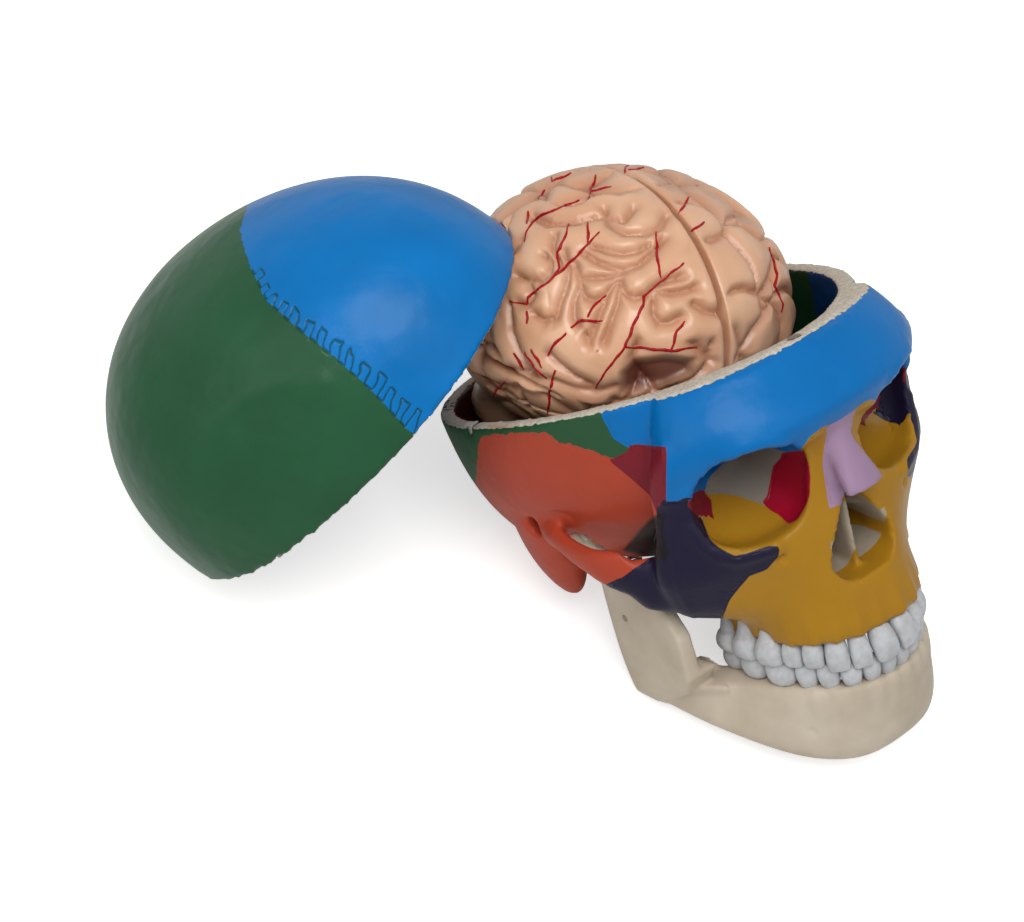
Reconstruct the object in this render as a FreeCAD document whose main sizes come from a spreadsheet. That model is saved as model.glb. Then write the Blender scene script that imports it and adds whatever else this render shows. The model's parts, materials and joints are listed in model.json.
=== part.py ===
import FreeCAD, Part
import math
import os

V = FreeCAD.Vector
document = FreeCAD.newDocument("brain_anatomy_model")

# Driving dimensions, in millimetres and degrees.
# The skull's own frame has its origin midway between the ear canals,
# x to the skull's left, y to its back and z up to its crown.
SIZES = (
    ("cut_centre_y", 15.0, "widest line of the skull, behind the ears"),
    ("cut_level", 42.1, "height of the saw cut above the ears"),
    ("cut_tilt", 11.4, "tilt of the saw cut, front up"),
    ("skull_half_width", 69.9, "half width of the skull at the saw cut"),
    ("skull_front", 98.4, "widest line to forehead, along the cut"),
    ("skull_rear", 71.2, "widest line to back of head, along the cut"),
    ("vault_height", 74.0, "height of the vault over the saw cut"),
    ("skull_depth", 73.4, "depth of the brain case below the saw cut"),
    ("skull_fullness", 0.92, "how square the skull's sides are, 1 for an ellipse"),
    ("case_corner", 0.8, "the same for the brain case below the saw cut"),
    ("side_wall", 5.4, "cast wall at the sides, back and top"),
    ("front_wall", 7.5, "cast wall at the forehead"),
    ("floor_wall", 12.0, "cast floor below the brain"),
    ("front_floor", 41.0, "height of the cavity floor above the eyes"),
    ("front_floor_end", 48.0, "rear edge of that floor, ahead of the ears"),
    ("middle_floor", 2.0, "height of the cavity floor at mid length"),
    ("middle_floor_end", 4.0, "rear edge of that floor, behind the ears"),
    ("nape_level", 24.0, "depth of the flat nape below the ears"),
    ("rest_pitch", 30.0, "lean back of the skull on its nape and jaw"),
    ("cap_turn", 37.4, "turn of the loose cap about the upright axis"),
    ("cap_pitch", 15.9, "lean of the loose cap, forehead up"),
    ("cap_roll", 17.4, "lean of the loose cap to its side"),
    ("cap_right", 94.0, "loose cap's step to the skull's right"),
    ("cap_back", 63.6, "loose cap's step to the back"),
    ("magnet_diameter", 4.4, "closing magnets"),
    ("magnet_length", 3.0, "closing magnets"),
    ("magnet_gap", 0.05, "clearance round each magnet"),
    ("orbit_half_width", 18.5, "eye socket at its rim"),
    ("orbit_half_height", 18.2, "eye socket at its rim"),
    ("orbit_centre_x", 30.0, "eye socket to the middle"),
    ("orbit_centre_z", 18.6, "eye socket above the ears"),
    ("orbit_depth", 31.0, "eye socket, rim to apex"),
    ("nose_half_width", 13.0, "nose opening at its widest"),
    ("nose_top", 8.0, "top of the nose opening"),
    ("nose_floor", -22.5, "floor of the nose opening"),
    ("septum_thickness", 2.2, "wall that parts the nose"),
    ("arch_reach", 65.5, "cheek arch to the middle"),
    ("mastoid_reach", 51.0, "bump behind the ear, to the middle"),
    ("mastoid_tip", 35.0, "tip of that bump below the ears"),
    ("hinge_back", -12.0, "jaw axis, ahead of the ears"),
    ("hinge_level", -3.0, "jaw axis, below the ears"),
    ("condyle_reach", 50.0, "middle of each jaw head to the middle"),
    ("condyle_length", 15.0, "jaw head along its axis"),
    ("condyle_radius", 5.0, "jaw head about its axis"),
    ("joint_gap", 0.3, "clearance on each face of the joint pad"),
    ("pad_thickness", 2.4, "joint pad"),
    ("upper_arch_width", 30.0, "tooth row, half width at the back"),
    ("upper_arch_length", 43.5, "tooth row, back to front"),
    ("lower_arch_width", 28.5, "tooth row, half width at the back"),
    ("lower_arch_length", 42.0, "tooth row, back to front"),
    ("arch_centre_y", -50.0, "rear end of the tooth rows"),
    ("upper_neck", -40.0, "gum line of the upper teeth, in front"),
    ("lower_neck", -60.0, "gum line of the lower teeth, in front"),
    ("neck_rise", 2.4, "how much shorter the last molar is"),
    ("bite_level", -50.0, "where the teeth meet"),
    ("bite_gap", 0.3, "clearance between the tooth rows"),
    ("root_length", 8.0, "root of each tooth"),
    ("root_gap", 0.05, "clearance round each root"),
    ("brain_width_share", 0.946, "brain's half width, in half widths of the hollow"),
    ("brain_front_share", 0.7, "brain's middle to its front, in the hollow's length to its front"),
    ("brain_rear_share", 0.9, "brain's middle to its back, in the hollow's length to its back"),
    ("brain_top_share", 0.73, "brain's middle to its top, in the hollow's height"),
    ("brain_under_share", 0.717, "brain's middle to its underside, in the hollow's depth"),
    ("brain_x", 2.4, "brain's middle, to the left"),
    ("brain_y", 2.2, "brain's middle, behind the widest line of the skull"),
    ("brain_rise_share", 0.185, "brain's middle above the saw cut, in the hollow's depth"),
    ("brain_roll", 14.0, "lean of the loose brain to the left"),
    ("brain_pitch", 5.7, "lean of the loose brain to the back"),
    ("brain_turn", -4.6, "turn of the loose brain"),
    ("lean_gap", 0.3, "clearance where the loose cap leans on the brain"),
    ("part_gap", 0.3, "gap between the parts of the brain"),
    ("fissure_width", 6.0, "long fissure between the halves"),
    ("fissure_depth", 11.0, "long fissure between the halves"),
    ("sulcus_width", 5.0, "furrows of the brain"),
    ("sulcus_depth", 4.6, "furrows of the brain"),
    ("pin_diameter", 5.0, "pins that join the parts of the brain"),
    ("pin_length", 16.0, "pins that join the parts of the brain"),
    ("pin_gap", 0.05, "clearance round each pin"),
    ("spring_diameter", 5.0, "jaw springs"),
    ("spring_wire", 0.8, "jaw springs"),
    ("spring_gap", 0.3, "clearance at each end of a jaw spring"),
    ("screw_diameter", 2.5, "screws that hold the jaw springs"),
    ("screw_length", 7.0, "their threads"),
    ("screw_head", 5.5, "their heads"),
    ("head_height", 1.6, "their heads"),
    ("screw_gap", 0.05, "clearance round each thread"),
)

sheet = document.addObject("Spreadsheet::Sheet", "Sizes")
for row, (alias, value, note) in enumerate(SIZES, start=1):
    sheet.set("A%d" % row, note)
    sheet.set("B%d" % row, str(value))
    sheet.setAlias("B%d" % row, alias)
document.recompute()
size = {alias: float(sheet.get(alias)) for alias, value, note in SIZES}

FAR = 400.0


# Helpers for smooth solids
def ring_curve(ring):
    """A smooth closed curve through the points of a ring, each an equal step."""
    curve = Part.BSplineCurve()
    steps = [float(index) for index in range(len(ring) + 1)]
    curve.interpolate(Points=ring, PeriodicFlag=True, Parameters=steps)
    return curve


def blend(rings):
    """A smooth solid through rings of points, closed by its first and last ring."""
    curves = [ring_curve(ring) for ring in rings]
    middles = [sum(ring, V()) * (1.0 / len(ring)) for ring in rings]
    stations = [0.0]
    for index in range(1, len(rings)):
        stride = (middles[index] - middles[index - 1]).Length
        stations.append(stations[-1] + math.sqrt(stride))
    columns = []
    for number in range(1, curves[0].NbPoles + 1):
        column = Part.BSplineCurve()
        column.interpolate(Points=[curve.getPole(number) for curve in curves], Parameters=stations)
        columns.append(column)
    surface = Part.BSplineSurface()
    surface.buildFromPolesMultsKnots(
        [column.getPoles() for column in columns],
        curves[0].getMultiplicities(), columns[0].getMultiplicities(),
        curves[0].getKnots(), columns[0].getKnots(),
        True, False, curves[0].Degree, columns[0].Degree)
    ends = [Part.Face(Part.Wire(curve.toShape())) for curve in (curves[0], curves[-1])]
    shell = Part.makeShell([surface.toShape()] + ends)
    shell.sewShape()
    solid = Part.makeSolid(shell)
    if solid.Volume < 0:
        solid.reverse()
    return solid


def mirrored_ring(half_outline, z):
    """A level ring, given from its front to its back on the left side."""
    left = [V(x, y, z) for x, y in half_outline]
    right = [V(-x, y, z) for x, y in reversed(half_outline[1:-1])]
    return left + right


def oval(centre, across, along, half_across, half_along, squareness=1.0):
    """A ring like an ellipse, or squarer, in the plane of two directions."""
    points = []
    for index in range(8):
        angle = math.radians(45.0 * index)
        bulge = squareness if index % 2 else 1.0
        side = across * (half_across * math.cos(angle) * bulge)
        lift = along * (half_along * math.sin(angle) * bulge)
        points.append(centre + side + lift)
    return points


EGG_RISES = (-86, -74, -60, -45, -30, -15, 0, 15, 30, 45, 60, 74, 86)
EGG_TURNS = range(0, 360, 20)


def egg_point(egg, around, above):
    """A point of an egg: degrees round from its front to its right, and up."""
    turn = math.radians(around)
    rise = math.radians(above)
    length = egg["front"] if math.cos(turn) > 0 else egg["rear"]
    height = egg["top"] if above > 0 else egg["under"]
    fullness = egg["fullness"] if above > 0 else egg.get("corner", egg["fullness"])
    spread = abs(math.cos(rise)) ** fullness
    lift = math.copysign(abs(math.sin(rise)) ** fullness, above)
    return V(-egg["half_width"] * math.sin(turn) * spread,
             -length * math.cos(turn) * spread, height * lift)


def egg_solid(egg):
    return blend([[egg_point(egg, around, above) for around in EGG_TURNS] for above in EGG_RISES])


def ellipsoid(centre, semi_x, semi_y, semi_z):
    matrix = FreeCAD.Matrix()
    matrix.scale(semi_x, semi_y, semi_z)
    ball = Part.makeSphere(1.0).transformGeometry(matrix)
    ball.translate(centre)
    return ball


def both_sides(shape):
    """A solid and its mirror image about the middle of the skull."""
    return [shape, shape.mirror(V(0, 0, 0), V(1, 0, 0))]


def level_box(x_range, y_range, z_range):
    corner = V(x_range[0], y_range[0], z_range[0])
    spans = [span[1] - span[0] for span in (x_range, y_range, z_range)]
    return Part.makeBox(spans[0], spans[1], spans[2], corner)


# Frame of the saw cut: its origin is on the widest line of the skull
cut_height = size["cut_level"] - size["cut_centre_y"] * math.tan(math.radians(size["cut_tilt"]))
cut_frame = FreeCAD.Placement(
    V(0, size["cut_centre_y"], cut_height),
    FreeCAD.Rotation(V(1, 0, 0), -size["cut_tilt"]),
)


def in_cut_frame(shape):
    placed = shape.copy()
    placed.Placement = cut_frame * placed.Placement
    return placed


# Closing magnets: front middle and both sides, half way through the wall
front_ring = size["skull_front"] - size["front_wall"] / 2
side_ring = size["skull_half_width"] - size["side_wall"] / 2
MAGNET_PLACES = (
    V(0, -front_ring, 0),
    V(-side_ring, 0, 0),
    V(side_ring, 0, 0),
)


def magnet_pockets(upwards):
    radius = size["magnet_diameter"] / 2 + size["magnet_gap"]
    direction = V(0, 0, 1 if upwards else -1)
    length = size["magnet_length"] + size["magnet_gap"]
    return [Part.makeCylinder(radius, length, place, direction) for place in MAGNET_PLACES]


# Brain case: an egg about the saw cut, and its hollow
CASE_EGG = {
    "half_width": size["skull_half_width"], "front": size["skull_front"],
    "rear": size["skull_rear"], "top": size["vault_height"],
    "under": size["skull_depth"], "fullness": size["skull_fullness"],
    "corner": size["case_corner"]}
HOLLOW_EGG = {
    "half_width": size["skull_half_width"] - size["side_wall"],
    "front": size["skull_front"] - size["front_wall"],
    "rear": size["skull_rear"] - size["side_wall"],
    "top": size["vault_height"] - size["side_wall"],
    "under": size["skull_depth"] - size["floor_wall"], "fullness": size["skull_fullness"],
    "corner": size["case_corner"]}
upper_space = level_box((-FAR, FAR), (-FAR, FAR), (0.0, FAR))
lower_space = level_box((-FAR, FAR), (-FAR, FAR), (-FAR, 0.0))


# Skull cap: the sawn vault, hollow
def skull_cap_shape():
    outer = egg_solid(CASE_EGG).common(upper_space)
    return outer.cut([egg_solid(HOLLOW_EGG)] + magnet_pockets(True))


# Cranial cavity of the lower skull, with its stepped floor
def cavity_shape():
    bowl = in_cut_frame(egg_solid(HOLLOW_EGG))
    front_step = level_box(
        (-FAR, FAR), (-FAR, -size["front_floor_end"]), (-FAR, size["front_floor"]))
    middle_step = level_box(
        (-FAR, FAR), (-FAR, size["middle_floor_end"]), (-FAR, size["middle_floor"]))
    return bowl.cut([front_step, middle_step])


# Face of the skull: outlines from the forehead down to the gum, front to back
FACE_OUTLINES = (
    (57.0, ((0, -83.5), (20, -81), (36, -72), (43, -60), (34, -52), (18, -48), (0, -46))),
    (48.0, ((0, -90), (20, -88.5), (38, -81), (48, -67), (40, -54), (20, -48), (0, -46))),
    (40.0, ((0, -95), (16, -94), (36, -87), (51.5, -71), (45, -57), (22, -48), (0, -46))),
    (32.0, ((0, -92), (16, -91), (36, -85), (54, -69), (48, -58), (22, -47), (0, -46))),
    (22.0, ((0, -89), (13, -86), (34, -80), (54, -65.5), (48, -56), (22, -47), (0, -46))),
    (8.0, ((0, -90), (14, -86), (34, -80), (53, -66), (52, -56), (26, -46), (0, -46))),
    (-4.0, ((0, -91), (15, -88), (34, -81), (54, -66), (55, -54), (28, -46), (0, -46))),
    (-14.0, ((0, -92), (16, -89), (32, -79), (52, -64), (53, -53), (28, -46), (0, -46))),
    (-24.0, ((0, -94), (15, -90.5), (28, -80), (45, -64), (48, -54), (26, -46), (0, -46))),
    (-33.0, ((0, -96), (15, -92.5), (27, -80), (33.5, -64), (34, -50), (24, -44), (0, -43))),
    (-45.0, ((0, -97.5), (15, -93.5), (27, -80), (33, -64), (34.5, -50), (24, -42), (0, -42))),
)


def face_shape():
    return blend([mirrored_ring(outline, level) for level, outline in FACE_OUTLINES])


def orbit_shape():
    """The left eye socket: wide at its rim and narrow at its apex."""
    rim = V(size["orbit_centre_x"], -80.0, size["orbit_centre_z"])
    apex = V(19.0, rim.y + size["orbit_depth"] - 2.0, size["orbit_centre_z"] + 2.0)
    axis = (rim - apex).normalize()
    across = axis.cross(V(0, 0, 1)).normalize()
    lift = across.cross(axis).normalize()
    wires = []
    for share, spread in ((0.0, 0.22), (0.45, 0.78), (0.8, 1.06), (1.0, 1.0), (1.6, 1.25)):
        centre = apex + (rim - apex) * share
        half_width = size["orbit_half_width"] * spread
        half_height = size["orbit_half_height"] * spread
        wires.append(oval(centre, across, lift, half_width, half_height, 1.08))
    return blend(wires)


def nose_opening_shape():
    half = size["nose_half_width"]
    top = size["nose_top"]
    low = size["nose_floor"]
    outline = (
        (0, top), (0.42 * half, top - 6), (0.8 * half, 0.5 * (top + low)),
        (half, low + 8), (0.75 * half, low + 1), (0, low))
    left = [V(x, -110.0, z) for x, z in outline]
    right = [V(-x, -110.0, z) for x, z in reversed(outline[1:-1])]
    profile = ring_curve(left + right).toShape()
    return Part.Face(Part.Wire(profile)).extrude(V(0, 68.0, 0))


def nose_inside_shapes():
    """The septum and the two rolls of bone on each side of it."""
    half = size["septum_thickness"] / 2
    septum = level_box((-half, half), (-86.0, -44.0), (size["nose_floor"] - 2, size["nose_top"] + 2))
    rolls = []
    for level, reach in ((-15.0, 11.2), (-4.0, 9.2)):
        rolls += both_sides(ellipsoid(V(reach, -66.0, level), 3.2, 15.0, 3.6))
    return [septum] + rolls


def nasal_bones_shape():
    """The small bridge of the nose, from between the brows to its free tip."""
    rows = ((33.0, -87.0, 6.0, 4.5), (24.0, -90.0, 4.8, 4.0),
            (16.0, -94.0, 6.5, 3.6), (9.0, -98.0, 7.6, 2.6))
    wires = [
        oval(V(0, y + depth * 0.4, z), V(1, 0, 0), V(0, -1, 0.35).normalize(), half, depth)
        for z, y, half, depth in rows]
    return blend(wires)


def cheek_arch_shape():
    reach = size["arch_reach"]
    rows = (
        (V(46, -60, -11), 5.5, 11.0), (V(56.5, -51, -10), 3.6, 10.0),
        (V(reach - 1.5, -40, -7.5), 2.8, 7.2), (V(reach, -27, -5), 2.5, 5.0),
        (V(reach - 1.0, -14, -1.5), 2.8, 4.4), (V(reach - 5.5, -3, 3.5), 3.6, 4.6),
        (V(reach - 13.0, 8, 6.5), 4.0, 4.0))
    wires = []
    for index, (centre, half_across, half_up) in enumerate(rows):
        before = rows[max(index - 1, 0)][0]
        after = rows[min(index + 1, len(rows) - 1)][0]
        across = (after - before).cross(V(0, 0, 1)).normalize()
        wires.append(oval(centre, across, V(0, 0, 1), half_across, half_up))
    return blend(wires)


def mastoid_shape():
    """The thick bone behind the ear canal, down to its blunt tip."""
    reach = size["mastoid_reach"]
    tip = -size["mastoid_tip"]
    rows = ((V(reach + 1, 2, 18), 11.0, 24.0), (V(reach + 3.5, 4, 4), 10.5, 19.0),
            (V(reach + 3, 7, -8), 9.5, 15.5), (V(reach + 1.5, 8.5, -20), 8.0, 11.5),
            (V(reach, 9, tip + 5), 5.2, 7.0), (V(reach - 0.5, 9, tip), 2.2, 3.0))
    return blend([oval(centre, V(1, 0, 0), V(0, 1, 0), across, along)
                  for centre, across, along in rows])


def pterygoid_shape():
    """The bone plate behind the palate."""
    wires = [
        oval(V(14.0, -40.0, -4.0), V(1, 0, 0), V(0, 1, 0), 5.0, 8.0),
        oval(V(14.5, -42.0, -20.0), V(1, 0, 0), V(0, 1, 0), 3.4, 7.0),
        oval(V(16.0, -44.0, -36.0), V(1, 0, 0), V(0, 1, 0), 2.6, 4.0)]
    return blend(wires)


def hinge_point(side):
    return V(side * size["condyle_reach"], size["hinge_back"], size["hinge_level"])


pad_inner = size["condyle_radius"] + size["joint_gap"]
pad_outer = pad_inner + size["pad_thickness"]
fossa_radius = pad_outer + size["joint_gap"]
fossa_length = size["condyle_length"] + 2.0


def jaw_seat_shapes():
    """The bone above each jaw head, and the half-round hollow cut in it."""
    bosses = []
    hollows = []
    for side in (-1, 1):
        centre = hinge_point(side)
        bosses.append(ellipsoid(
            centre + V(0, 0, fossa_radius + 1.0), fossa_length / 2 + 5.0,
            fossa_radius + 6.0, fossa_radius + 1.0))
        start = centre - V(fossa_length / 2, 0, 0)
        hollows.append(Part.makeCylinder(fossa_radius, fossa_length, start, V(1, 0, 0)))
        slot_low = centre - V(fossa_length / 2, fossa_radius, 2 * fossa_radius)
        hollows.append(Part.makeBox(fossa_length, 2 * fossa_radius, 2 * fossa_radius, slot_low))
    return bosses, hollows


# Tooth rows: name, width along the row, thickness and biting thickness
UPPER_TEETH = (
    ("central_incisor", 8.4, 6.8, 2.0), ("lateral_incisor", 6.6, 6.0, 2.0),
    ("canine", 7.4, 7.6, 3.2), ("first_premolar", 6.8, 8.6, 5.8),
    ("second_premolar", 6.6, 8.6, 6.2), ("first_molar", 9.8, 10.4, 8.4),
    ("second_molar", 9.2, 10.2, 8.2), ("third_molar", 8.0, 9.4, 7.4))
LOWER_TEETH = (
    ("central_incisor", 5.3, 5.8, 1.8), ("lateral_incisor", 5.9, 6.2, 1.8),
    ("canine", 6.8, 7.4, 2.8), ("first_premolar", 7.0, 7.4, 5.0),
    ("second_premolar", 7.0, 7.8, 5.8), ("first_molar", 10.6, 9.8, 8.0),
    ("second_molar", 10.0, 9.6, 7.8), ("third_molar", 8.6, 9.0, 7.2))


def row_point(distance, half_width, length):
    """Place and outward direction at a distance along half a tooth row."""
    walked = 0.0
    angle = 0.0
    step = math.radians(0.25)
    while walked < distance and angle < math.pi / 2:
        walked += step * math.hypot(half_width * math.cos(angle), length * math.sin(angle))
        angle += step
    x = half_width * math.sin(angle)
    y = size["arch_centre_y"] - length * math.cos(angle) + max(distance - walked, 0.0)
    outward = V(math.sin(angle) * length, -math.cos(angle) * half_width, 0).normalize()
    return V(x, y, 0), outward


def neck_level(y, upper):
    """Height of the gum line, which slopes from the front teeth to the molars."""
    share = (y - size["arch_centre_y"]) / size["upper_arch_length"] + 1.0
    drop = size["neck_rise"] * share
    return size["upper_neck"] - drop if upper else size["lower_neck"] + drop


def on_gum_line(ring, upper, towards):
    """The ring laid on the gum line, a hair's breadth clear of the bone."""
    lift = towards * size["root_gap"]
    return [V(point.x, point.y, neck_level(point.y, upper) + lift) for point in ring]


def tooth_shapes(side, teeth, upper):
    """Crowns with their roots, and the sockets they stand in, for half a row."""
    half_width = size["upper_arch_width"] if upper else size["lower_arch_width"]
    length = size["upper_arch_length"] if upper else size["lower_arch_length"]
    towards = -1.0 if upper else 1.0
    bite = size["bite_level"] - (0.0 if upper else size["bite_gap"])
    crowns = []
    sockets = []
    walked = 0.0
    for name, width, thickness, edge in teeth:
        place, outward = row_point(walked + width / 2, half_width, length)
        walked += width
        lean = 3.4 * max(0.0, -outward.y) ** 2 * (1.0 if upper else 0.6)
        neck = V(place.x, place.y, neck_level(place.y, upper))
        tip = V(place.x, place.y, bite) + outward * lean
        belly = neck + (tip - neck) * 0.5 + outward * 0.3
        along = outward.cross(V(0, 0, 1))
        mesial = width / 2 - 0.06
        wires = [
            on_gum_line(oval(neck, along, outward, 0.76 * mesial, 0.42 * thickness, 1.04),
                        upper, towards),
            oval(belly, along, outward, 0.99 * mesial, 0.5 * thickness, 1.1),
            oval(tip, along, outward, 0.93 * mesial, 0.5 * edge, 1.16)]
        crown = blend(wires)
        radius = 0.36 * min(width, thickness)
        root_axis = V(0, 0, -towards) - outward * (0.1 * lean)
        root = Part.makeCone(radius, 0.4 * radius, size["root_length"], neck, root_axis)
        gap = size["root_gap"]
        socket = Part.makeCone(
            radius + gap, 0.4 * radius + gap, size["root_length"] + gap, neck, root_axis)
        pair = [crown.fuse(root), socket]
        if side < 0:
            pair = [shape.mirror(V(0, 0, 0), V(1, 0, 0)) for shape in pair]
        crowns.append((name, pair[0]))
        sockets.append(pair[1])
    return crowns, sockets


def neck_plane_box(upper):
    """Everything past the gum line of one row, on the side of the teeth."""
    front_y = size["arch_centre_y"] - size["upper_arch_length"]
    level = neck_level(front_y, upper)
    slope = math.degrees(math.atan2(size["neck_rise"], size["upper_arch_length"]))
    box = Part.makeBox(FAR, FAR / 2, FAR / 4, V(-FAR / 2, -FAR / 10, -FAR / 4 if upper else 0.0))
    tilt = FreeCAD.Rotation(V(1, 0, 0), -slope if upper else slope)
    box.Placement = FreeCAD.Placement(V(0, front_y, level), tilt)
    return box


teeth = {}
sockets = {}
for row_name, row, is_upper in (("upper", UPPER_TEETH, True), ("lower", LOWER_TEETH, False)):
    sockets[row_name] = []
    for side_name, side in (("right", -1), ("left", 1)):
        crowns, holes = tooth_shapes(side, row, is_upper)
        sockets[row_name] += holes
        for name, crown in crowns:
            teeth["%s_%s_%s" % (row_name, side_name, name)] = crown


# Screws of the jaw springs, on the left side: seat and the way the thread points
THROAT_LEVEL = -16.0
RAMUS_INNER = 46.4
skull_screw_seat = V(36.0, -12.0, THROAT_LEVEL)
jaw_screw_seat = V(RAMUS_INNER, -24.0, -34.0)
SCREWS = (("skull", skull_screw_seat, V(0, 0, 1)), ("jaw", jaw_screw_seat, V(1, 0, 0)))


def screw_hole(seat, direction):
    """A hole for the thread, with a flat round its mouth."""
    radius = size["screw_diameter"] / 2 + size["screw_gap"]
    hole = Part.makeCylinder(radius, size["screw_length"] + size["screw_gap"], seat, direction)
    flat = Part.makeCylinder(size["screw_head"] / 2 + 0.3, 3.0, seat, direction * -1)
    return hole.fuse(flat)


def skull_base_shape():
    case = in_cut_frame(egg_solid(CASE_EGG).common(lower_space))
    nape = level_box((-FAR, FAR), (-FAR, FAR), (-FAR, -size["nape_level"]))
    throat = level_box((-FAR, FAR), (-FAR, 2.0), (-FAR, THROAT_LEVEL))
    case = case.cut([nape, throat])
    sphenoid = ellipsoid(V(0, -24.0, 2.0), 24.0, 34.0, 22.0)
    condyle = ellipsoid(V(14.0, 9.0, -22.0), 5.5, 10.0, 5.5)
    bosses, hollows = jaw_seat_shapes()
    solids = [face_shape(), sphenoid, nasal_bones_shape()] + bosses
    for shape in (mastoid_shape(), cheek_arch_shape(), pterygoid_shape(), condyle):
        solids += both_sides(shape)
    skull = case.fuse(solids)
    palate = blend([
        mirrored_ring(
            ((0, -86 + 8 * k), (9 - 1.5 * k, -83 + 8 * k), (17 - 3 * k, -70 + 3 * k),
             (22 - 4 * k, -54), (22 - 4 * k, -30), (10, -28), (0, -28)), -50.0 + 8.0 * k)
        for k in (0.0, 1.0, 2.0)])
    foramen = Part.makeCylinder(15.5, 20.0, V(0, 19.0, -36.0))
    canal = Part.makeCylinder(3.6, 20.0, V(51.0, 0, 0), V(1, 0, 0.1))
    infraorbital = Part.makeCylinder(1.7, 9.0, V(28.0, -87.0, -8.0), V(-0.2, 1, 0.5))
    supraorbital = Part.makeCylinder(1.2, 8.0, V(24.0, -95.0, 37.0), V(0, 1, 0.1))
    cuts = [in_cut_frame(upper_space), cavity_shape(), palate, foramen,
            nose_opening_shape(), neck_plane_box(True)]
    for shape in (orbit_shape(), canal, infraorbital, supraorbital):
        cuts += both_sides(shape)
    skull = skull.cut(cuts)
    skull = skull.fuse(nose_inside_shapes())
    pockets = [in_cut_frame(pocket) for pocket in magnet_pockets(False)]
    screw_holes = both_sides(screw_hole(skull_screw_seat, V(0, 0, 1)))
    return skull.cut(hollows + pockets + screw_holes + sockets["upper"])


# Jaw: rows of low point, high point, half thickness low and high, left side
JAW_ROWS = (
    (V(0, -84, -91.5), V(0, -92.5, -58), 6.8, 4.6),
    (V(13, -82, -91.5), V(10.5, -90, -58), 6.6, 4.6),
    (V(26, -72, -88), V(20.5, -81, -58), 6.2, 4.8),
    (V(36, -57, -81), V(27, -66, -57), 6.2, 5.6),
    (V(43, -41, -74.5), V(34, -52, -55), 5.8, 6.4),
    (V(48, -27, -68.5), V(45, -42, -48), 4.6, 4.6),
    (V(50, -18, -66.9), V(49.5, -33, -42), 3.6, 3.8))
RAMUS_ROWS = (
    (V(49.5, -24.5, -66.9), 3.8, 10.0), (V(50, -29.5, -54), 3.8, 18.0),
    (V(50, -31, -42), 3.6, 20.5), (V(50, -30, -30), 3.4, 19.5), (V(50, -29, -21), 3.2, 18.0))
NECK_ROWS = (
    (V(50, -20.5, -26), 3.0, 9.0), (V(50, -16.5, -16), 3.2, 6.0), (V(50, -12.5, -5), 5.0, 4.0))
CORONOID_ROWS = (
    (V(50, -37, -26), 3.0, 10.5), (V(49.5, -41, -14), 2.6, 7.0), (V(49, -43.5, -3), 1.5, 2.2))


def jaw_wire(low, high, half_low, half_high, outward):
    """One upright slice of the jaw, thick at its lower border."""
    rise = high - low
    middle = 0.5 * (half_low + half_high)
    sides = ((0.12, half_low * 0.86), (0.5, middle), (0.9, half_high * 0.9))
    outer = [low + rise * share + outward * half for share, half in sides]
    inner = [low + rise * share - outward * half for share, half in reversed(sides)]
    return [low] + outer + [high] + inner


def jaw_body_shape():
    right = [(V(-low.x, low.y, low.z), V(-high.x, high.y, high.z), half_low, half_high)
             for low, high, half_low, half_high in reversed(JAW_ROWS[1:])]
    rows = right + list(JAW_ROWS)
    wires = []
    for index, (low, high, half_low, half_high) in enumerate(rows):
        before = rows[max(index - 1, 0)][0]
        after = rows[min(index + 1, len(rows) - 1)][0]
        outward = (after - before).cross(V(0, 0, -1))
        outward.z = 0.0
        wires.append(jaw_wire(low, high, half_low, half_high, outward.normalize()))
    return blend(wires)


def upright_blend(rows):
    wires = [oval(centre, V(1, 0, 0), V(0, 1, 0), half_x, half_y, 1.08)
             for centre, half_x, half_y in rows]
    return blend(wires)


def jaw_head_shape():
    """A barrel about the jaw axis, so that it turns without a rub."""
    half = size["condyle_length"] / 2
    radius = size["condyle_radius"]
    points = [V(-half, 0.55 * radius, 0), V(-0.5 * half, 0.95 * radius, 0), V(0, radius, 0),
              V(0.5 * half, 0.95 * radius, 0), V(half, 0.55 * radius, 0)]
    curve = Part.BSplineCurve()
    curve.interpolate(points)
    ends = [Part.LineSegment(V(-half, 0, 0), points[0]), Part.LineSegment(points[-1], V(half, 0, 0))]
    axis = Part.LineSegment(V(half, 0, 0), V(-half, 0, 0))
    wire = Part.Wire([ends[0].toShape(), curve.toShape(), ends[1].toShape(), axis.toShape()])
    barrel = Part.Face(wire).revolve(V(0, 0, 0), V(1, 0, 0), 360)
    barrel.translate(hinge_point(1))
    return barrel


def mandible_shape():
    solids = []
    for shape in (upright_blend(RAMUS_ROWS), upright_blend(NECK_ROWS),
                  upright_blend(CORONOID_ROWS), jaw_head_shape()):
        solids += both_sides(shape)
    jaw = jaw_body_shape().fuse(solids)
    rear_limit = level_box((-FAR, FAR), (-FAR, size["arch_centre_y"] + 6.0), (-FAR, FAR))
    above_gum = neck_plane_box(False).common(rear_limit)
    mental = Part.makeCylinder(1.6, 8.0, V(30.5, -82.5, -75.0), V(-0.6, 1, 0.1))
    screw_holes = both_sides(screw_hole(jaw_screw_seat, V(1, 0, 0)))
    return jaw.cut([above_gum] + both_sides(mental) + screw_holes + sockets["lower"])


# Brain: its own frame has the same directions as the skull's, about its middle.
# Its numbers are drawn for a hollow of this half width, length back and depth.
DRAWN_HOLLOW = (64.5, 65.8, 61.4)
stretch_x = HOLLOW_EGG["half_width"] / DRAWN_HOLLOW[0]
stretch_y = HOLLOW_EGG["rear"] / DRAWN_HOLLOW[1]
stretch_z = HOLLOW_EGG["under"] / DRAWN_HOLLOW[2]


def stretched(x, y, z):
    return V(x * stretch_x, y * stretch_y, z * stretch_z)


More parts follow.
